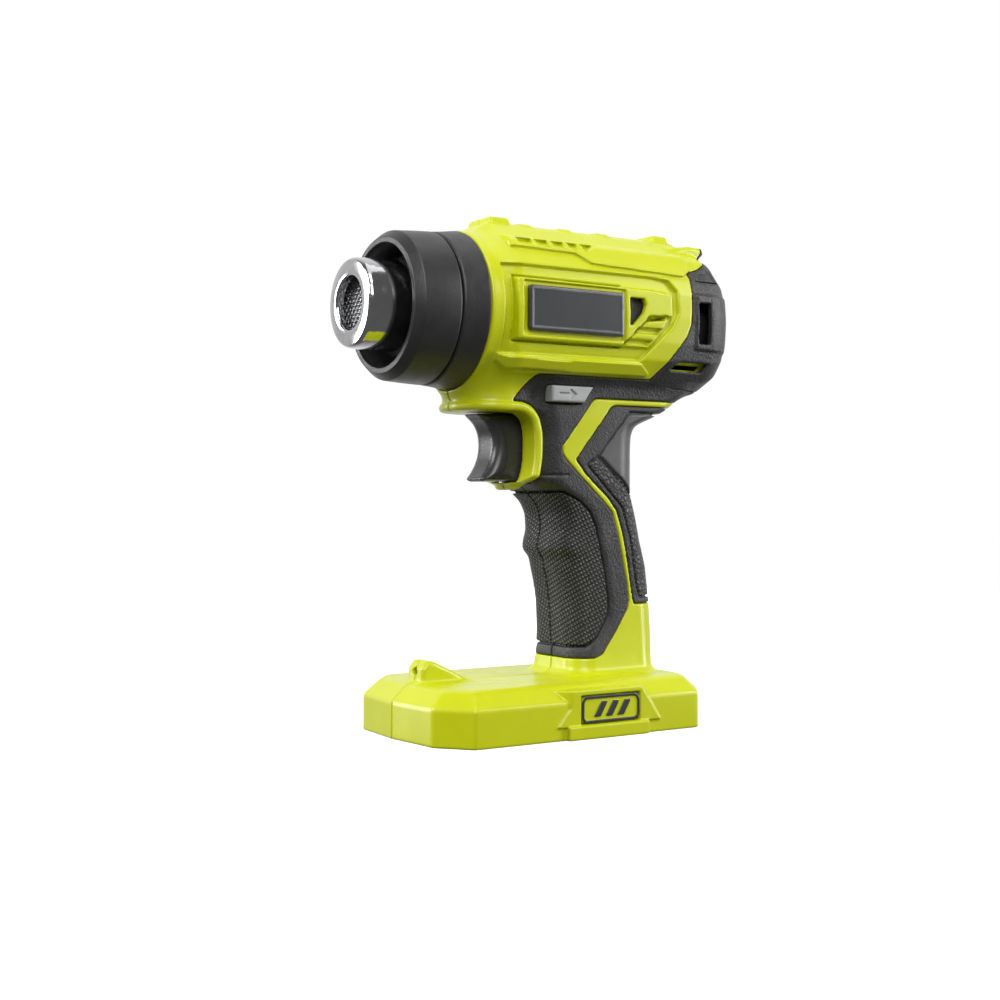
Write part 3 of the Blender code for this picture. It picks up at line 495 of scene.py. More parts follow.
def side_offsets(y, z):
    """How far the body's side stands out or sinks, as a map over y and z."""
    relief = 0
    for points, height, slope in SIDE_FEATURES[:-1]:
        relief = relief + height * step_in(polygon(points, y, z), slope)
    points, height, slope = SIDE_FEATURES[-1]
    vents = step_in(polygon(points, y, z), slope)
    for rib in POD_RIBS:
        vents = vents * (1 - step_in(np.abs(y - rib) - 0.7, 0.6))
    return relief + height * vents


def body_outer(x, y, z):
    """The barrel: its own section behind, a circle where the shroud meets it, domed at the rear."""
    section = softened(polygon(mirrored_section(BODY_SECTION), x, z), 1.0, (0, 2))
    circle = np.hypot(x, z - AXIS_Z) - BODY_FRONT_R
    share = np.clip((y - BODY_FRONT - 3) / BODY_BLEND, 0, 1)
    share = share * share * (3 - 2 * share)
    tube = circle * (1 - share) + section * share
    tube = tube - side_offsets(y, z)
    for start, end, height in TOP_BANDS:
        across = step_in(np.abs(x) - 8.5, 2.0) * step_in(block(y, z, (start, end), (195, 210)), 1.0)
        tube = tube - height * across
    for start in TOP_CHEVRONS:
        across = step_in(np.abs(y - start - 0.6 * np.abs(x)) - 2.2, 1.2) * step_in(195 - z, 3.0)
        tube = tube - 0.7 * across * step_in(np.abs(x) - 9.0, 2.0)
    tube = both(tube, z - TOP_FLAT - TAIL_RISE * step_in(y - 65.5, 2.5), 0.8)
    dome = y - BODY_REAR + REAR_DOME * (x ** 2 + (z - AXIS_Z) ** 2)
    tube = both(tube, dome, 12.0)
    tail = both(polygon(TAIL, y, z), np.abs(x) - TAIL_HALF, 2.0)
    return both(either(tube, tail, 0.8), BODY_FRONT - y, 0.8)


def grip_outer(x, y, z):
    """The handle, from the foot up into the body and back along the tang."""
    front, rear, half, corner = (eased(GRIP_TABLE, z, column) for column in range(1, 5))
    dx = np.abs(x) - half + corner
    dy = np.abs(y - (front + rear) / 2) - (rear - front) / 2 + corner
    side = np.minimum(np.maximum(dx, dy), 0) + np.hypot(np.maximum(dx, 0), np.maximum(dy, 0)) - corner
    return both(side, np.maximum(GRIP_LOW - z, z - GRIP_HIGH))


def foot_plan(x, y):
    """The foot's outline from above."""
    points = ((0.0, FOOT_FRONT), (26.75, FOOT_FRONT + 2.1), (FOOT_HALF, FOOT_FRONT + 12.8),
              (FOOT_HALF, 53.2), (29.5, 61.6), (0.0, 64.0))
    return softened(polygon(mirrored_section(points), x, y), 0.8, (0, 1))


def foot_outer(x, y, z):
    """The foot: a low skirt with a sloped shoulder, a flat deck and a raised panel for the badge."""
    plan = foot_plan(x, y)
    shoulder = (plan * 5.6 + (z - SHOULDER_Z) * 6.0) / math.hypot(5.6, 6.0)
    foot = both(both(plan, shoulder, 0.8), z - FOOT_TOP, 1.6)
    front_slope = (-(y + 13.0) + (plan + 3.0) * 0.9 - np.maximum(12.0 - z, 0) * 0.9) * 0.7
    rear_slope = (y - 29.2 + (z - 13.0) * 0.68 + (plan + 2.0) * 0.3) * 0.8
    boss = both(both(plan - BOSS_PROUD, z - PANEL_TOP, 0.6), np.maximum(front_slope, rear_slope), 0.3)
    boss = both(boss, PANEL_LOW - z, 0.3)
    ledge = both(plan - BOSS_PROUD - LEDGE_PROUD, block(y, z, *LEDGE), 0.4)
    foot = np.minimum(np.minimum(foot, both(boss, 20.0 - x)), both(ledge, 20.0 - x))
    return both(foot, -z, 0.6)


def flowing(points, rounds=3):
    """An open line with its corners cut until it flows."""
    for _ in range(rounds):
        cut = [points[0]]
        for (ay, az), (by, bz) in zip(points, points[1:]):
            cut.append((ay * 0.75 + by * 0.25, az * 0.75 + bz * 0.25))
            cut.append((ay * 0.25 + by * 0.75, az * 0.25 + bz * 0.75))
        points = cut + [points[-1]]
    return points


def nose(x, y, half, corner, front):
    """A form that is rounded at the front when seen from above."""
    inner = half - corner
    return block(x, y, (-inner, inner), (front + corner, 60.0)) - corner


def rim_outer(x, y, z):
    """The bow behind the trigger, proud of the soft skin on both sides."""
    bow = path_distance(flowing(RIM_PATH), y, z) - RIM_R
    upper = nose(x, y, CHIN_HALF + 0.9, CHIN_CORNER, CHIN_FRONT - 0.9)
    lower = nose(x, y, LIP_HALF, LIP_CORNER, LIP_FRONT)
    middle_part = np.abs(x) - 19.6
    low_share = step_in(z - 99.0, 4.0)
    high_share = step_in(120.0 - z, 4.0)
    plan = lower * low_share + upper * high_share + middle_part * (1 - low_share) * (1 - high_share)
    return both(bow, plan, 1.7)


def gun_outer(x, y, z):
    """Everything that is moulded, as one outer form with true distances near its surface."""
    body = body_outer(x, y, z)
    chin = both(polygon(CHIN, y, z), nose(x, y, CHIN_HALF, CHIN_CORNER, CHIN_FRONT), 1.0)
    solid = either(body, chin, 5.0)
    guard = np.hypot(x, z - AXIS_Z) - BODY_FRONT_R - 0.1
    solid = without(solid, both(guard, y - BODY_FRONT), 0.3)
    grip = grip_outer(x, y, z)
    solid = either(solid, grip, 3.0)
    solid = either(solid, rim_outer(x, y, z), 0.6)
    lug = both(polygon(LUG, y, z), np.abs(x) - LUG_HALF, 2.0)
    foot = either(foot_outer(x, y, z), lug, 1.6)
    hole = both(np.hypot(x, z - LUG_HOLE_Z) - LUG_HOLE_R, y + 50.0)
    foot = without(foot, hole, 0.3)
    solid = either(solid, foot, 3.5)
    slopes = np.gradient(solid, GRID)
    steep = np.sqrt(slopes[0] ** 2 + slopes[1] ** 2 + slopes[2] ** 2)
    return (solid / np.maximum(steep, 1.0)).astype(np.float32)


def hollow_form(outer, x, y, z):
    """The space inside the mouldings."""
    grip_zone = both(GRIP_LOW - z, z - 128.0)
    wall = np.where(grip_zone < 0, GRIP_WALL, WALL)
    room = outer + wall
    floor = both(foot_plan(x, y) + 3.2, z - DECK_LOW, 1.0)
    lined = either(room, floor)
    grip_room = grip_outer(x, y, np.maximum(z, DECK_TOP)) + GRIP_WALL
    deck = both(np.maximum(DECK_LOW - z, z - DECK_TOP), grip_room)
    blocked = both(np.maximum(DECK_LOW - 2.0 - z, z - DECK_TOP), -deck)
    return without(lined, both(blocked, DECK_LOW - z))


# ---------------- pieces of the mouldings

def make_mouldings():
    """Both halves of the housing, the four soft skins and the rear cap."""
    x, y, z = grid_axes(GRID_LOW, GRID_HIGH, GRID)
    outer = gun_outer(x, y, z)
    hollow = hollow_form(outer, x, y, z)
    front_area = soft_outline(FRONT_SKIN, y, z)
    front_area = without(front_area, path_distance(flowing(RIM_PATH), y, z) - RIM_R - 0.25)
    rear_area = soft_outline(REAR_SKIN, y, z)
    cap_area = cap_side(y, z)
    layer = -(outer + SKIN)
    half = SEAM - x
    opening = trigger_opening(x, y, z)
    lock = polygon(LOCK, y, z) - LOCK_GAP
    shell = without(outer, hollow)
    pad = soft_outline(GRIP_PAD, y, z)
    pad_edge = np.abs(pad) - 0.5
    outside_pad = np.maximum(pad, 0)
    valley = 0.55 * np.exp(-(outside_pad / 1.6) ** 2) * (outside_pad > 0)
    soft = outer + valley
    groove = both(pad_edge, -(outer + 1.5))
    front_skin = both(both(soft, layer), front_area + SEAM)
    front_skin = without(front_skin, groove, 0.2)
    line = both(np.abs(z - 101.3) - 0.5, np.maximum(-8.0 - y, y - 5.0))
    front_skin = without(front_skin, both(line, -(outer + 0.5)))
    rear_lines = np.minimum(np.abs(polygon(REAR_PAD, y, z)), np.abs(polygon(WEDGE, y, z))) - 0.45
    rear_skin = both(both(outer, layer), rear_area + SEAM)
    rear_skin = without(rear_skin, both(rear_lines, -(outer + 1.2)), 0.2)
    pockets = np.minimum(front_area - SEAM, rear_area - SEAM)
    pockets = both(pockets, -(outer + SKIN + 2 * SEAM))
    pockets = np.minimum(pockets, cap_area - SEAM)
    housing = without(shell, pockets)
    housing = without(housing, side_openings(x, y, z, outer), 0.35)
    sill = both(polygon(LOW_SLOT, y, z) - 1.6, -(outer + WALL + 1.5))
    sill = without(both(sill, outer + WALL + 0.3), polygon(LOW_SLOT, y, z) + 1.0)
    housing = np.minimum(housing, both(sill, 12.0 - x))
    cap = both(shell, cap_area + SEAM, 0.25)
    cap = without(cap, cap_openings(x, y, z), 0.3)
    cap = without(cap, cap_grooves(y, z, outer))
    blocked = np.minimum(opening, lock)
    for side, mirror in SIDES:
        holes = screw_holes(x, y, z) if mirror else None
        for name, form in (("housing", housing), ("front_grip_skin", front_skin),
                           ("rear_grip_skin", rear_skin)):
            if mirror and name == "housing":
                form = np.minimum(form, screw_bosses(y, z, outer))
            form = both(without(form, blocked, 0.3), half if name == "housing" else half + SEAM, 0.3)
            if mirror:
                form = without(form, holes, 0.2)
            piece = piece_from(f"visual_{side}_{name}", form, GRID_LOW, GRID, mirror)
            thin_inside(piece, outer)
            paint_moulding(piece, name)
            stands_for(piece, f"{side}_{name}")
    halves = [piece_from(f"cap_{mirror}", both(cap, -x), GRID_LOW, GRID, mirror) for mirror in (False, True)]
    whole = join(halves, "visual_rear_cap")
    stands_for(whole, "rear_cap")
    set_finish(whole, moulded("charcoal_pebble"))


def cap_side(y, z):
    """Negative behind the slanted line where the rear cap starts and above the tang."""
    line = CAP_LINE + ((76.6, 230.0), (130.0, 230.0), (130.0, 137.2), (41.0, 137.2))
    return soft_outline(line, y, z)


def trigger_opening(x, y, z):
    """The slot in the front of the handle that the trigger slides in."""
    return both(block(x, z, *TRIGGER_SLOT), np.maximum(-20.0 - y, y - 2.0), 0.5)


def screws():
    """Each clamshell screw's y and z, and how far from the middle its head is seated."""
    for node in frame["nodes"]:
        if node.startswith("housing_screw"):
            centre = middle(node)
            yield centre.y, centre.z, -span(node, 0)[0] - SCREW_HEAD


def screw_bosses(y, z, outer):
    """Posts under the right half's wall that the screws pass through."""
    posts = 1e3
    for screw_y, screw_z, _ in screws():
        posts = np.minimum(posts, np.hypot(y - screw_y, z - screw_z) - SCREW_BOSS_R)
    return both(posts, outer + WALL)


def screw_holes(x, y, z):
    """Counterbores over the clamshell screws, which enter from the right side."""
    holes = 1e3
    for screw_y, screw_z, seat in screws():
        reach = np.hypot(y - screw_y, z - screw_z)
        holes = np.minimum(holes, both(reach - SCREW_HEAD_HOLE_R, seat - 0.3 - x))
        holes = np.minimum(holes, both(reach - SCREW_HOLE_R, -20.0 - x))
    return holes


def side_openings(x, y, z, outer):
    """The plate's pocket, the pentagon window, the groove round the bezel and the badge's pocket."""
    side = 20.0 - x
    plate = both(block(y, z, *PLATE) - 0.3, 31.5 - x)
    cut = np.minimum(plate, polygon(WINDOW, y, z))
    line = np.abs(polygon(BEZEL, y, z) - 0.5) - 0.35
    cut = np.minimum(cut, both(both(line, -(outer + BEZEL_GROOVE)), y - 22.0))
    badge = both(block(y, z, *BADGE) - 0.3, FOOT_HALF - 1.1 - x)
    return both(np.minimum(cut, badge), side)


def cap_openings(x, y, z):
    """The air inlets: a tall one and a low one on each side, and the rear slots."""
    side = both(block(y, z, *CAP_WINDOW) - 0.4, 18.0 - x)
    low_slot = both(polygon(LOW_SLOT, y, z), 16.0 - x)
    cut = np.minimum(side, low_slot)
    for index in range(REAR_SLOTS):
        level = AXIS_Z + (index - REAR_SLOTS // 2) * REAR_SLOT_PITCH
        bar = block(x, z, (-REAR_SLOT_HALF, REAR_SLOT_HALF), (level - 0.7, level + 0.7))
        slot = both(bar - 0.8, 74.0 - y)
        cut = np.minimum(cut, slot)
    return cut


def cap_grooves(y, z, outer):
    """A fine line that hooks round the top of the cap."""
    line = both(np.abs(z - CAP_GROOVE_Z) - 0.4, np.maximum(60.6 - y, y - 73.6))
    return both(line, -(outer + 0.9))


def join(objects, name):
    """Several meshes as one object, welded where they meet on the middle plane."""
    bm = bmesh.new()
    for piece in objects:
        bm.from_mesh(piece.data)
        bpy.data.objects.remove(piece)
    bmesh.ops.remove_doubles(bm, verts=bm.verts, dist=0.02 * MM)
    return object_of(bm, name)


def thin_inside(piece, outer):
    """Simplify only the unseen inner faces of a moulding."""
    points = places(piece.data.vertices, "co")
    index = np.round((points - np.array(GRID_LOW)) / GRID).astype(int)
    index = np.clip(index, 0, np.array(outer.shape) - 1)
    depth = outer[index[:, 0], index[:, 1], index[:, 2]]
    inner = np.flatnonzero(depth < -1.6)
    group = piece.vertex_groups.new(name="inside")
    group.add(inner.tolist(), 1.0, "REPLACE")
    share = len(inner) / len(points)
    simpler = piece.modifiers.new("inside", "DECIMATE")
    simpler.ratio = 1 - 0.85 * share
    simpler.vertex_group = "inside"
    simpler.vertex_group_factor = 10.0


def paint_moulding(piece, name):
    """Give a moulding its finish, with textured areas on the soft skins."""
    if name == "housing":
        set_finish(piece, moulded("lime_green_plastic"))
        return
    _, y, z = places(piece.data.polygons, "center").T
    zones = np.zeros(len(y))
    if name.startswith("front"):
        zones[polygon(GRIP_PAD, y, z) < 0] = 1
    else:
        zones[polygon(WEDGE, y, z) < 0] = 2
        zones[polygon(REAR_PAD, y, z) < 0] = 1
    pattern = knurled_rubber() if name.startswith("front") else leather_rubber()
    set_finish(piece, moulded("charcoal_soft_skin"), pattern, moulded("soft_skin_smooth"), zones=zones)


# ---------------- turned parts

def rounded(points, radius, steps=4):
    """A profile with each inner corner rounded."""
    done = [points[0]]
    for before, corner, after in zip(points, points[1:], points[2:]):
        a, b, c = Vector(before), Vector(corner), Vector(after)
        cut = min(radius, (a - b).length * 0.45, (c - b).length * 0.45)
        start, end = b + (a - b).normalized() * cut, b + (c - b).normalized() * cut
        for k in range(steps + 1):
            t = k / steps
            done.append(tuple(start * (1 - t) ** 2 + b * 2 * t * (1 - t) + end * t * t))
    return done + [points[-1]]


def turned(name, loop, radius, steps=144):
    """A closed (radius, y) profile turned about the barrel's axis."""
    loop = list(loop)
    start = (Vector(loop[0]) + Vector(loop[-1])) / 2
    profile = rounded([tuple(start)] + loop + [tuple(start)], radius)[:-1]
    bm = bmesh.new()
    rings = []
    for step in range(steps):
        angle = 2 * math.pi * step / steps
        rings.append([bm.verts.new((r * math.cos(angle) * MM, y * MM, (AXIS_Z + r * math.sin(angle)) * MM))
                      for r, y in profile])
    for ring, following in zip(rings, rings[1:] + rings[:1]):
        for k in range(len(profile)):
            j = (k + 1) % len(profile)
            bm.faces.new((ring[k], ring[j], following[j], following[k]))
    bmesh.ops.recalc_face_normals(bm, faces=bm.faces)
    made = object_of(bm, name)
    made.data.set_sharp_from_angle(angle=math.radians(40))
    return made


def make_shroud():
    """The black two-part guard round the outlet."""
    seam = SHROUD_SEAM
    front = ((25.95, SHROUD_FRONT), (28.6, SHROUD_FRONT + 3.3), (29.2, SHROUD_FRONT + 11.6),
             (29.55, seam - 1.0), (29.1, seam - 0.3), (SHROUD_BORE_R, seam - 0.3),
             (SHROUD_BORE_R, SHROUD_FRONT))
    rear_start, rear_end = span("shroud_rear", 1)
    rear = ((29.1, rear_start), (29.65, rear_start + 0.7), (30.0, -46.0), (30.85, rear_end - 0.8),
            (30.85, rear_end), (SHROUD_BORE_R, rear_end), (SHROUD_BORE_R, rear_start))
    for name, loop in (("shroud_front", front), ("shroud_rear", rear)):
        piece = turned(f"visual_{name}", loop, 0.4)
        stands_for(piece, name)
        set_finish(piece, moulded("shroud_black"))


def make_nozzle():
    """The chromed outlet with its rolled front lip and the shoulder that accessories butt against."""
    lip = flowing([(10.0, TIP + 3.1), (10.0, TIP + 0.4), (11.8, TIP), (14.6, TIP + 0.2), (17.0, TIP + 0.6),
                   (NOZZLE_R, TIP + 5.0)])
    loop = tuple(lip) + ((NOZZLE_R, -64.6), (18.2, -63.6), (SHOULDER_R, -62.4), (SHOULDER_R, -56.0),
                         (NOZZLE_R, -54.6), (NOZZLE_R, NOZZLE_END), (NOZZLE_BORE_R, NOZZLE_END),
                         (NOZZLE_BORE_R, -80.2), (15.4, -81.6), (12.4, -82.2), (11.0, -81.8),
                         (11.0, TIP + 3.1))
    piece = turned("visual_nozzle_tube", loop, 0.8, 240)
    stands_for(piece, "nozzle_tube")
    set_finish(piece, chrome())


def make_inlet_screen():
    """The guard behind the air inlets, with its gauze drawn as a closed ring in near black: painted shade for
    the dark space seen through the gauze.
    """
    start, end = span("inlet_screen", 1)
    outer = span("inlet_screen", 0)[1]
    loop = ((outer - 0.7, start), (outer, start), (outer, end), (outer - 0.7, end))
    piece = turned("visual_inlet_screen", loop, 0.1)
    stands_for(piece, "inlet_screen")
    set_finish(piece, moulded("gauze_and_painted_shade"))


def tube(bm, path, radius, sides=8):
    """A round wire along points, with closed ends."""
    rings = []
    path = [Vector(p) for p in path]
    for k, point in enumerate(path):
        along = (path[min(k + 1, len(path) - 1)] - path[max(k - 1, 0)]).normalized()
        across = along.cross(Vector((0.3, 0.9, 0.31))).normalized()
        other = along.cross(across)
        rings.append([bm.verts.new((point + across * math.cos(2 * math.pi * s / sides) * radius
                                    + other * math.sin(2 * math.pi * s / sides) * radius) * MM)
                      for s in range(sides)])
    for ring, following in zip(rings, rings[1:]):
        for s in range(sides):
            bm.faces.new((ring[s], ring[(s + 1) % sides], following[(s + 1) % sides], following[s]))
    bm.faces.new(tuple(reversed(rings[0])))
    bm.faces.new(tuple(rings[-1]))


def make_screen():
    """The woven wire screen in the outlet."""
    bm = bmesh.new()
    level = middle("outlet_screen").y
    pitch, wire, reach = 1.5, 0.36, 15.4
    count = int(reach / pitch)
    for direction in (0, 1):
        for index in range(-count, count + 1):
            offset = index * pitch
            half = math.sqrt(max(reach ** 2 - offset ** 2, 0.2))
            steps = max(int(2 * half / pitch * 3), 3)
            path = []
            for k in range(steps + 1):
                along = -half + 2 * half * k / steps
                wave = math.cos(math.pi * along / pitch) * (1 if (index + direction) % 2 else -1)
                point = (along, offset) if direction else (offset, along)
                path.append((point[0], level + 0.32 * wave, AXIS_Z + point[1]))
            tube(bm, path, wire)
    bmesh.ops.recalc_face_normals(bm, faces=bm.faces)
    made = object_of(bm, "visual_outlet_screen")
    stands_for(made, "outlet_screen")
    set_finish(made, plain_metal("screen_steel", (0.42, 0.42, 0.43), 0.34))


# ---------------- controls and plates

def make_trigger():
    """The trigger: flat cheeks and a proud, dished finger pad."""
    low = (-11.5, -38.0, 97.0)
    x, y, z = grid_axes(low, (11.5, -2.0, 127.5), FINE)
    rounding = TRIGGER_CORNER - np.sqrt(np.maximum(
        TRIGGER_CORNER ** 2 - np.maximum(np.abs(x) - TRIGGER_HALF + TRIGGER_CORNER, 0) ** 2, 0.0))
    set_back = rounding * step_in(y + 15.0, 6.0)
    shape = TRIGGER_BACK + tuple(flowing(TRIGGER_FRONT)[1:])
    side = soft_outline(shape, y, z, 0.6) + set_back * 0.85
    form = both(side, np.abs(x) - TRIGGER_HALF + 0.7, 1.0)
    pad_area = soft_outline(TRIGGER_PAD, y, z, 1.2)
    pad = both(both(side, pad_area, 0.6), np.abs(x) - TRIGGER_HALF, 1.0)
    form = either(form, pad, 0.4)
    seat = middle("trigger_spring")
    coil_low, coil_high = span("trigger_spring", 2)
    pocket = np.hypot(x - seat.x, z - seat.z) - (coil_high - coil_low) / 2 - 0.4
    form = without(form, both(pocket, span("trigger_spring", 1)[0] - SPRING_POCKET - y))
    piece = piece_from("visual_trigger", form, low, FINE)
    stands_for(piece, "trigger", "trigger")
    set_finish(piece, moulded("trigger_charcoal"))


def make_lock_button():
    """The cross lock-off slide with a small engraved arrow on its end."""
    reach_low, reach_high = span("lock_off_button", 0)
    low = (reach_low - 1.0, -8.0, 128.4)
    x, y, z = grid_axes(low, (reach_high + 1.0, 15.2, 137.0), FINE)
    side = soft_outline(LOCK, y, z, 0.4)
    form = both(side, np.abs(x - (reach_low + reach_high) / 2) - (reach_high - reach_low) / 2, 0.9)
    arrow = np.minimum(block(y, z, *ARROW_SHAFT), polygon(ARROW_HEAD, y, z))
    form = without(form, both(arrow, reach_high - 0.6 - x))
    piece = piece_from("visual_lock_off_button", form, low, FINE)
    stands_for(piece, "lock_off_button", "lock")
    set_finish(piece, moulded("silver_grey_plastic"))


def plate_grid(spans, inner_x, outer_x):
    """A grid round a plate, with its lowest corner."""
    (y_low, y_high), (z_low, z_high) = spans
    low = (inner_x - 1.0, y_low - 1.0, z_low - 1.0)
    return low, grid_axes(low, (outer_x + 1.2, y_high + 1.0, z_high + 1.0), FINE)


def make_name_plates():
    """Blank plates on both sides, with rounded corners and a fine raised frame whose lighter tone is a
    painted highlight.
    """
    inner_x, outer_x = span("left_name_plate", 0)
    low, (x, y, z) = plate_grid(PLATE, inner_x, outer_x)
    shape = rounded_block(y, z, PLATE, PLATE_CORNER)
    face = x - (outer_x - 0.35)
    form = both(both(shape, face, 0.5), inner_x - x)
    frame_line = both(np.abs(shape + 1.3) - 0.28, x - outer_x + 0.1, 0.15)
    form = either(form, both(frame_line, inner_x + 0.5 - x), 0.15)
    for side, piece in pair("name_plate", form, low):
        stands_for(piece, f"{side}_name_plate")
        _, face_y, face_z = places(piece.data.polygons, "center").T
        edge = rounded_block(face_y, face_z, PLATE, PLATE_CORNER)
        # faces on the raised frame get a lighter tone: a painted highlight along the frame
        painted_highlight_frame = (edge > -1.7) & (edge < -0.9)
        set_finish(piece, moulded("plate_graphite"), moulded("plate_frame_painted_highlight"), zones=painted_highlight_frame)


def make_foot_badges():
    """Badges on the foot: a rounded dark outline with three slanted bars on a green field."""
    inner_x = span("left_foot_badge", 0)[0]
    outer_x = FOOT_HALF + BOSS_PROUD + 0.45
    low, (x, y, z) = plate_grid(BADGE, inner_x, outer_x)
    shape = rounded_block(y, z, BADGE, BADGE_CORNER)
    bars = 1e3
    for start in BADGE_BARS:
        lean = y - 0.6 * (z - BADGE[1][0])
        bars = np.minimum(bars, both(np.abs(lean - start) - 1.5, shape + 2.4, 0.3))
    form = both(both(shape, x - outer_x, 0.3), inner_x - x)
    field = both(both(shape + 1.1, -bars), outer_x - 0.6 - x)
    form = without(form, field, 0.15)
    for side, piece in pair("foot_badge", form, low):
        stands_for(piece, f"{side}_foot_badge")
        sunk = places(piece.data.polygons, "center")[:, 0] < outer_x - 0.42
        set_finish(piece, moulded("plate_graphite"), moulded("lime_green_plastic"), zones=sunk)


def make_window_floors():
    """The dark floor seen in the five-sided windows: deep at the front, shallow behind."""
    low = (22.0, 23.0, 159.0)
    x, y, z = grid_axes(low, (33.0, 35.0, 174.0), FINE)
    area = polygon(WINDOW, y, z) - 0.7
    shallow = both(both(area, x - 29.6), WINDOW_SPLIT - y, 0.3)
    form = both(np.minimum(shallow, both(area, x - 24.5)), 23.0 - x)
    for side, piece in pair("window_floor", form, low):
        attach(piece, "root")
        set_finish(piece, moulded("charcoal_pebble"))


# ---------------- finishes

FINISHES = {}
# name: dark tone, light tone, roughness, grain and bump in millimetres, bump strength, what else differs
MOULDED = {
    "lime_green_plastic": ((0.490, 0.535, 0.000), (0.525, 0.570, 0.001), 0.34, 0.9, 0.02, 0.25,
                           {"coat": 0.08}),
    # the pebbled finishes darken the grain's pits: painted shade
    "charcoal_pebble": ((0.022, 0.022, 0.023), (0.062, 0.062, 0.064), 0.46, 1.0, 0.34, 1.0, {"painted_pit_shade": 0.8}),
    "charcoal_soft_skin": ((0.013, 0.013, 0.014), (0.046, 0.046, 0.048), 0.50, 0.95, 0.34, 1.0,
                           {"painted_pit_shade": 0.8}),
    "soft_skin_smooth": ((0.066, 0.066, 0.068), (0.084, 0.084, 0.087), 0.40, 0.5, 0.02, 0.4, {}),
    "shroud_black": ((0.013, 0.013, 0.014), (0.022, 0.022, 0.023), 0.42, 0.8, 0.08, 0.7, {}),
    "inner_black": ((0.013, 0.013, 0.014), (0.022, 0.022, 0.023), 0.5, 0.8, 0.08, 0.7, {}),
    # near-black gauze: painted shade for the dark space seen through it
    "gauze_and_painted_shade": ((0.002, 0.002, 0.002), (0.012, 0.012, 0.012), 0.7, 0.8, 0.3, 1.0, {}),
    "trigger_charcoal": ((0.026, 0.026, 0.027), (0.038, 0.038, 0.040), 0.30, 0.5, 0.02, 0.4, {}),
    "silver_grey_plastic": ((0.30, 0.305, 0.31), (0.36, 0.365, 0.37), 0.38, 0.5, 0.02, 0.4, {}),
    "plate_graphite": ((0.030, 0.031, 0.033), (0.034, 0.035, 0.037), 0.30, 0.6, 0.006, 0.3,
                       {"coat": 0.2, "wear": 0.2}),
    # lighter tone for the plates' raised frame: painted highlight
    "plate_frame_painted_highlight": ((0.10, 0.10, 0.105), (0.15, 0.15, 0.155), 0.3, 0.5, 0.01, 0.2, {}),
}


def finish_nodes(name):
    """A new material with its node tree, shader and object coordinates."""
    made = bpy.data.materials.new(name)
    made.use_nodes = True
    tree = made.node_tree
    FINISHES[name] = made
    place = tree.nodes.new("ShaderNodeTexCoord").outputs["Object"]
    return made, tree, tree.nodes["Principled BSDF"], place


def noise(tree, place, scale, detail=3.0, rough=0.55):
    """A noise value in object space."""
    node = tree.nodes.new("ShaderNodeTexNoise")
    node.inputs["Scale"].default_value = scale
    node.inputs["Detail"].default_value = detail
    node.inputs["Roughness"].default_value = rough
    tree.links.new(place, node.inputs["Vector"])
    return node.outputs["Fac"]


def spread(tree, value, low, high, from_low=0.3, from_high=0.7):
    """A value stretched to a range."""
    node = tree.nodes.new("ShaderNodeMapRange")
    node.inputs["From Min"].default_value = from_low
    node.inputs["From Max"].default_value = from_high
    node.inputs["To Min"].default_value = low
    node.inputs["To Max"].default_value = high
    tree.links.new(value, node.inputs["Value"])
    return node.outputs["Result"]


def math_node(tree, operation, first, second=None):
    """One arithmetic step; inputs are sockets or numbers."""
    node = tree.nodes.new("ShaderNodeMath")
    node.operation = operation
    for socket, value in zip(node.inputs, (first, second)):
        if value is None:
            continue
        if isinstance(value, (int, float)):
            socket.default_value = value
        else:
            tree.links.new(value, socket)
    return node.outputs[0]


def bumped(tree, shader, heights):
    """Chain bumps of (height value, strength, distance in millimetres) into the shader."""
    previous = None
    for value, strength, distance in heights:
        node = tree.nodes.new("ShaderNodeBump")
        node.inputs["Strength"].default_value = strength
        node.inputs["Distance"].default_value = distance * MM
        tree.links.new(value, node.inputs["Height"])
        if previous:
            tree.links.new(previous, node.inputs["Normal"])
        previous = node.outputs["Normal"]
    tree.links.new(previous, shader.inputs["Normal"])


def tinted(tree, shader, value, dark, light):
    """Base colour between two tones."""
    mix = tree.nodes.new("ShaderNodeMix")
    mix.data_type = "RGBA"
    mix.inputs[6].default_value = (*dark, 1)
    mix.inputs[7].default_value = (*light, 1)
    tree.links.new(value, mix.inputs[0])
    tree.links.new(mix.outputs[2], shader.inputs["Base Color"])


def plain(name, dark, light, rough, grain_mm, bump_mm, strength=0.5, metal=0.0, coat=0.0, painted_pit_shade=0.0, wear=1.0):
    """A moulded or cast surface: two tones, uneven gloss, fine grain and faint marks, with painted shade in
    the grain's pits where asked.
    """
    if name in FINISHES:
        return FINISHES[name]
    made, tree, shader, place = finish_nodes(name)
    shader.inputs["Metallic"].default_value = metal
    shader.inputs["Coat Weight"].default_value = coat
    cloud = noise(tree, place, 60.0, 3.0)
    grain = noise(tree, place, 1000.0 / grain_mm, 2.0, 0.6)
    # darker where the grain is low: painted shade in its pits
    tone = math_node(tree, "MULTIPLY", spread(tree, cloud, 0, 1),
                     spread(tree, grain, 1 - painted_pit_shade, 1))
    tinted(tree, shader, tone, dark, light)
    smudge = noise(tree, place, 180.0, 5.0, 0.7)
    gloss = spread(tree, smudge, rough - 0.06 * wear, rough + 0.06 * wear)
    tree.links.new(gloss, shader.inputs["Roughness"])
    scuffs = noise(tree, place, 420.0, 6.0, 0.75)
    bumped(tree, shader, ((grain, strength, bump_mm), (scuffs, 0.12 * wear, 0.06)))
    return made


def moulded(name):
    """One of the outer finishes from the table."""
    *values, others = MOULDED[name]
    return plain(name, *values, **others)


def plain_metal(name, colour, rough):
    """Bare metal with drawing marks."""
    dark = tuple(c * 0.85 for c in colour)
    return plain(name, dark, colour, rough, 0.8, 0.02, 0.35, metal=1.0)


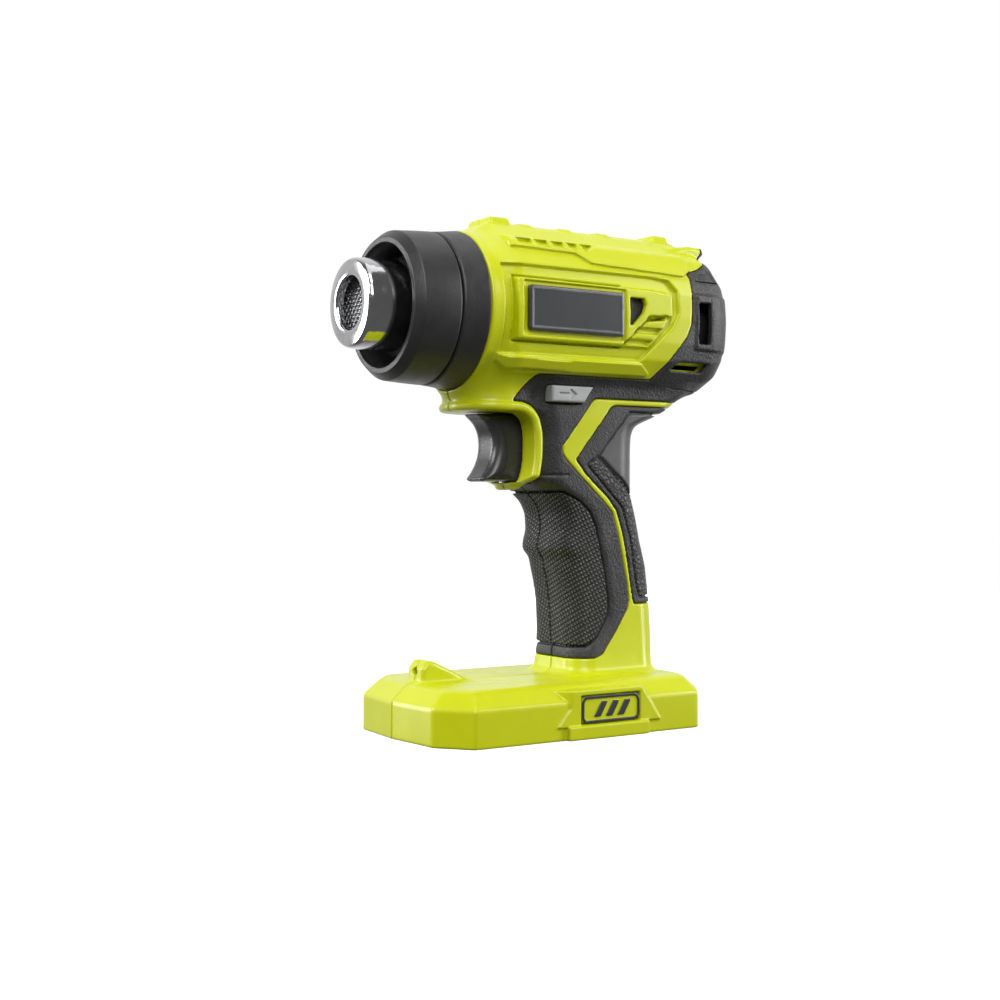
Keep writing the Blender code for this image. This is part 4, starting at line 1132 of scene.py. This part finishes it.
def chrome():
    """Polished plating with faint polishing marks and a little heat haze."""
    made, tree, shader, place = finish_nodes("outlet_chrome")
    shader.inputs["Metallic"].default_value = 1.0
    haze = noise(tree, place, 90.0, 4.0)
    tinted(tree, shader, spread(tree, haze, 0, 1), (0.46, 0.46, 0.47), (0.56, 0.56, 0.57))
    marks = noise(tree, place, 700.0, 6.0, 0.8)
    tree.links.new(spread(tree, marks, 0.10, 0.14), shader.inputs["Roughness"])
    return made


def knurled_rubber():
    """The front pad: small diamonds in rows that wrap round the handle, with painted shade that darkens the
    grooves between them.
    """
    made, tree, shader, place = finish_nodes("knurled_skin_painted_shade")
    cloud = noise(tree, place, 70.0, 3.0)
    axes = tree.nodes.new("ShaderNodeSeparateXYZ")
    tree.links.new(place, axes.inputs[0])
    outward = math_node(tree, "ABSOLUTE", axes.outputs["X"])
    around = math_node(tree, "ADD", outward, axes.outputs["Y"])
    waves = []
    for first, second, turn in ((around, axes.outputs["Z"], 0.55), (axes.outputs["Z"], around, -0.42)):
        lean = math_node(tree, "ADD", first, math_node(tree, "MULTIPLY", second, turn))
        cycle = math_node(tree, "MULTIPLY", lean, 2 * math.pi / (1.9 * MM))
        waves.append(spread(tree, math_node(tree, "SINE", cycle), 0, 1, -1, 0.6))
    knurl = math_node(tree, "MULTIPLY", *waves)
    # tone follows the knurl's height: painted shade darkens the grooves, the diamond tops stay light
    tone = math_node(tree, "MULTIPLY", knurl, spread(tree, cloud, 0.6, 1))
    tinted(tree, shader, tone, (0.008, 0.008, 0.009), (0.120, 0.120, 0.123))
    tree.links.new(spread(tree, knurl, 0.65, 0.38, 0, 1), shader.inputs["Roughness"])
    grain = noise(tree, place, 1800.0, 2.0)
    bumped(tree, shader, ((knurl, 1.0, 1.0), (grain, 0.5, 0.05)))
    return made


def leather_rubber():
    """The rear strip: a leather-like grain, with painted shade that darkens its creases."""
    made, tree, shader, place = finish_nodes("leather_skin_painted_shade")
    cells = tree.nodes.new("ShaderNodeTexVoronoi")
    cells.feature = "DISTANCE_TO_EDGE"
    cells.inputs["Scale"].default_value = 520.0
    tree.links.new(place, cells.inputs["Vector"])
    crease = spread(tree, cells.outputs["Distance"], 0, 1, 0.0, 0.35)
    # dark in the creases of the grain: painted shade
    tinted(tree, shader, crease, (0.026, 0.026, 0.027), (0.095, 0.095, 0.098))
    tree.links.new(spread(tree, crease, 0.68, 0.42, 0, 1), shader.inputs["Roughness"])
    grain = noise(tree, place, 1600.0, 3.0)
    bumped(tree, shader, ((crease, 1.0, 0.5), (grain, 0.4, 0.05)))
    return made


def set_finish(piece, *finishes, zones=None):
    """A piece's finishes, the first one everywhere unless its faces' zones are given."""
    piece.data.materials.clear()
    for finish in finishes:
        piece.data.materials.append(finish)
    if zones is not None:
        piece.data.polygons.foreach_set("material_index", zones.astype(np.int32))


def finish_inner_parts():
    """Finishes for the parts that are kept from the frame."""
    looks = {
        "duct": plain("cream_duct", (0.50, 0.48, 0.42), (0.62, 0.60, 0.53), 0.5, 0.8, 0.03),
        "mica": plain("mica_sheet", (0.42, 0.34, 0.24), (0.55, 0.47, 0.35), 0.5, 1.2, 0.08, 0.6),
        "ceramic": plain("ceramic_body", (0.70, 0.67, 0.60), (0.80, 0.77, 0.70), 0.7, 0.5, 0.06, 0.7),
        "element": plain_metal("oxidised_wire", (0.30, 0.26, 0.23), 0.42),
        "copper": plain_metal("copper_winding", (0.72, 0.36, 0.18), 0.32),
        "brass": plain_metal("brass_blade", (0.66, 0.50, 0.20), 0.30),
        "board": plain("circuit_board", (0.015, 0.13, 0.055), (0.025, 0.18, 0.08), 0.4, 0.9, 0.03),
        "red_wire": plain("red_sleeve", (0.36, 0.016, 0.016), (0.46, 0.024, 0.024), 0.42, 0.7, 0.03),
        "black_wire": plain("black_sleeve", (0.012, 0.012, 0.012), (0.02, 0.02, 0.02), 0.42, 0.7, 0.03),
        "heat_sink": plain_metal("cast_aluminium", (0.60, 0.60, 0.62), 0.45),
        "steel_parts": plain_metal("plain_steel", (0.45, 0.45, 0.46), 0.36),
        "black_plastic": moulded("inner_black"),
    }
    for part in frame["record"]["subparts"]:
        if part["material_slot"] in looks:
            set_finish(frame["nodes"][part["node"]], looks[part["material_slot"]])


# ---------------- studio

def make_stage():
    """A pale round floor that fades into the white surroundings."""
    bm = bmesh.new()
    bmesh.ops.create_circle(bm, cap_ends=True, segments=96, radius=1.0)
    floor = object_of(bm, "studio_floor")
    paper = plain("studio_paper", (0.60, 0.60, 0.60), (0.64, 0.64, 0.64), 0.85, 2.0, 0.02, 0.2)
    tree = paper.node_tree
    shader = tree.nodes["Principled BSDF"]
    shader.inputs["Emission Color"].default_value = (1, 1, 1, 1)
    reach = tree.nodes.new("ShaderNodeVectorMath")
    reach.operation = "LENGTH"
    tree.links.new(tree.nodes.new("ShaderNodeTexCoord").outputs["Object"], reach.inputs[0])
    glow = spread(tree, reach.outputs["Value"], FLOOR_GLOW, 1.3, 0.2, 0.6)
    tree.links.new(glow, shader.inputs["Emission Strength"])
    set_finish(floor, paper)
    floor.visible_diffuse = False
    floor.visible_glossy = False
    floor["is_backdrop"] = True


def softbox(name, place, size, power):
    """An area light that faces the tool."""
    light = bpy.data.lights.new(name, "AREA")
    light.shape = "RECTANGLE"
    light.size, light.size_y = size
    light.energy = power
    lamp = placed(name, light)
    lamp.location = place
    lamp.rotation_euler = (Vector(LIGHT_AIM) - Vector(place)).to_track_quat("-Z", "Y").to_euler()


def make_light():
    """White surroundings, brightest behind the tool, and the softboxes."""
    world = bpy.data.worlds.new("studio")
    bpy.context.scene.world = world
    world.use_nodes = True
    tree = world.node_tree
    background = tree.nodes["Background"]
    background.inputs["Color"].default_value = (1, 1, 1, 1)
    azimuth = math.radians(CAMERA_AZIMUTH)
    toward = tree.nodes.new("ShaderNodeVectorMath")
    toward.operation = "DOT_PRODUCT"
    toward.inputs[1].default_value = (-math.sin(azimuth), math.cos(azimuth), 0.25)
    tree.links.new(tree.nodes.new("ShaderNodeTexCoord").outputs["Generated"], toward.inputs[0])
    glow = spread(tree, toward.outputs["Value"], AMBIENT, BACKDROP, 0.25, 0.8)
    seen = tree.nodes.new("ShaderNodeLightPath").outputs["Is Camera Ray"]
    tree.links.new(math_node(tree, "MAXIMUM", seen, glow), background.inputs["Strength"])
    for name, place, size, power in SOFTBOXES:
        softbox(name, place, size, power)


def make_camera():
    """The photograph's viewpoint."""
    azimuth, elevation = math.radians(CAMERA_AZIMUTH), math.radians(CAMERA_ELEVATION)
    back = Vector((math.sin(azimuth) * math.cos(elevation), -math.cos(azimuth) * math.cos(elevation),
                   math.sin(elevation)))
    data = bpy.data.cameras.new("photo_camera")
    data.lens = CAMERA_LENS
    data.sensor_width = 36.0
    data.clip_start = 0.01
    camera = placed("photo_camera", data)
    camera.location = Vector(CAMERA_TARGET) + back * CAMERA_DISTANCE
    facing = back.to_track_quat("Z", "Y").to_matrix().to_4x4()
    camera.matrix_world = (Matrix.Translation(camera.location) @ facing
                           @ Matrix.Rotation(math.radians(CAMERA_ROLL), 4, "Z"))
    bpy.context.scene.camera = camera


make_mouldings()
make_shroud()
make_nozzle()
make_screen()
make_inlet_screen()
make_trigger()
make_lock_button()
make_name_plates()
make_foot_badges()
make_window_floors()
finish_inner_parts()
make_stage()
make_light()
make_camera()
bpy.context.scene.view_settings.view_transform = "Standard"
[[list(corner) for corner in box] for box in (CAD_BOUNDS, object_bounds())]
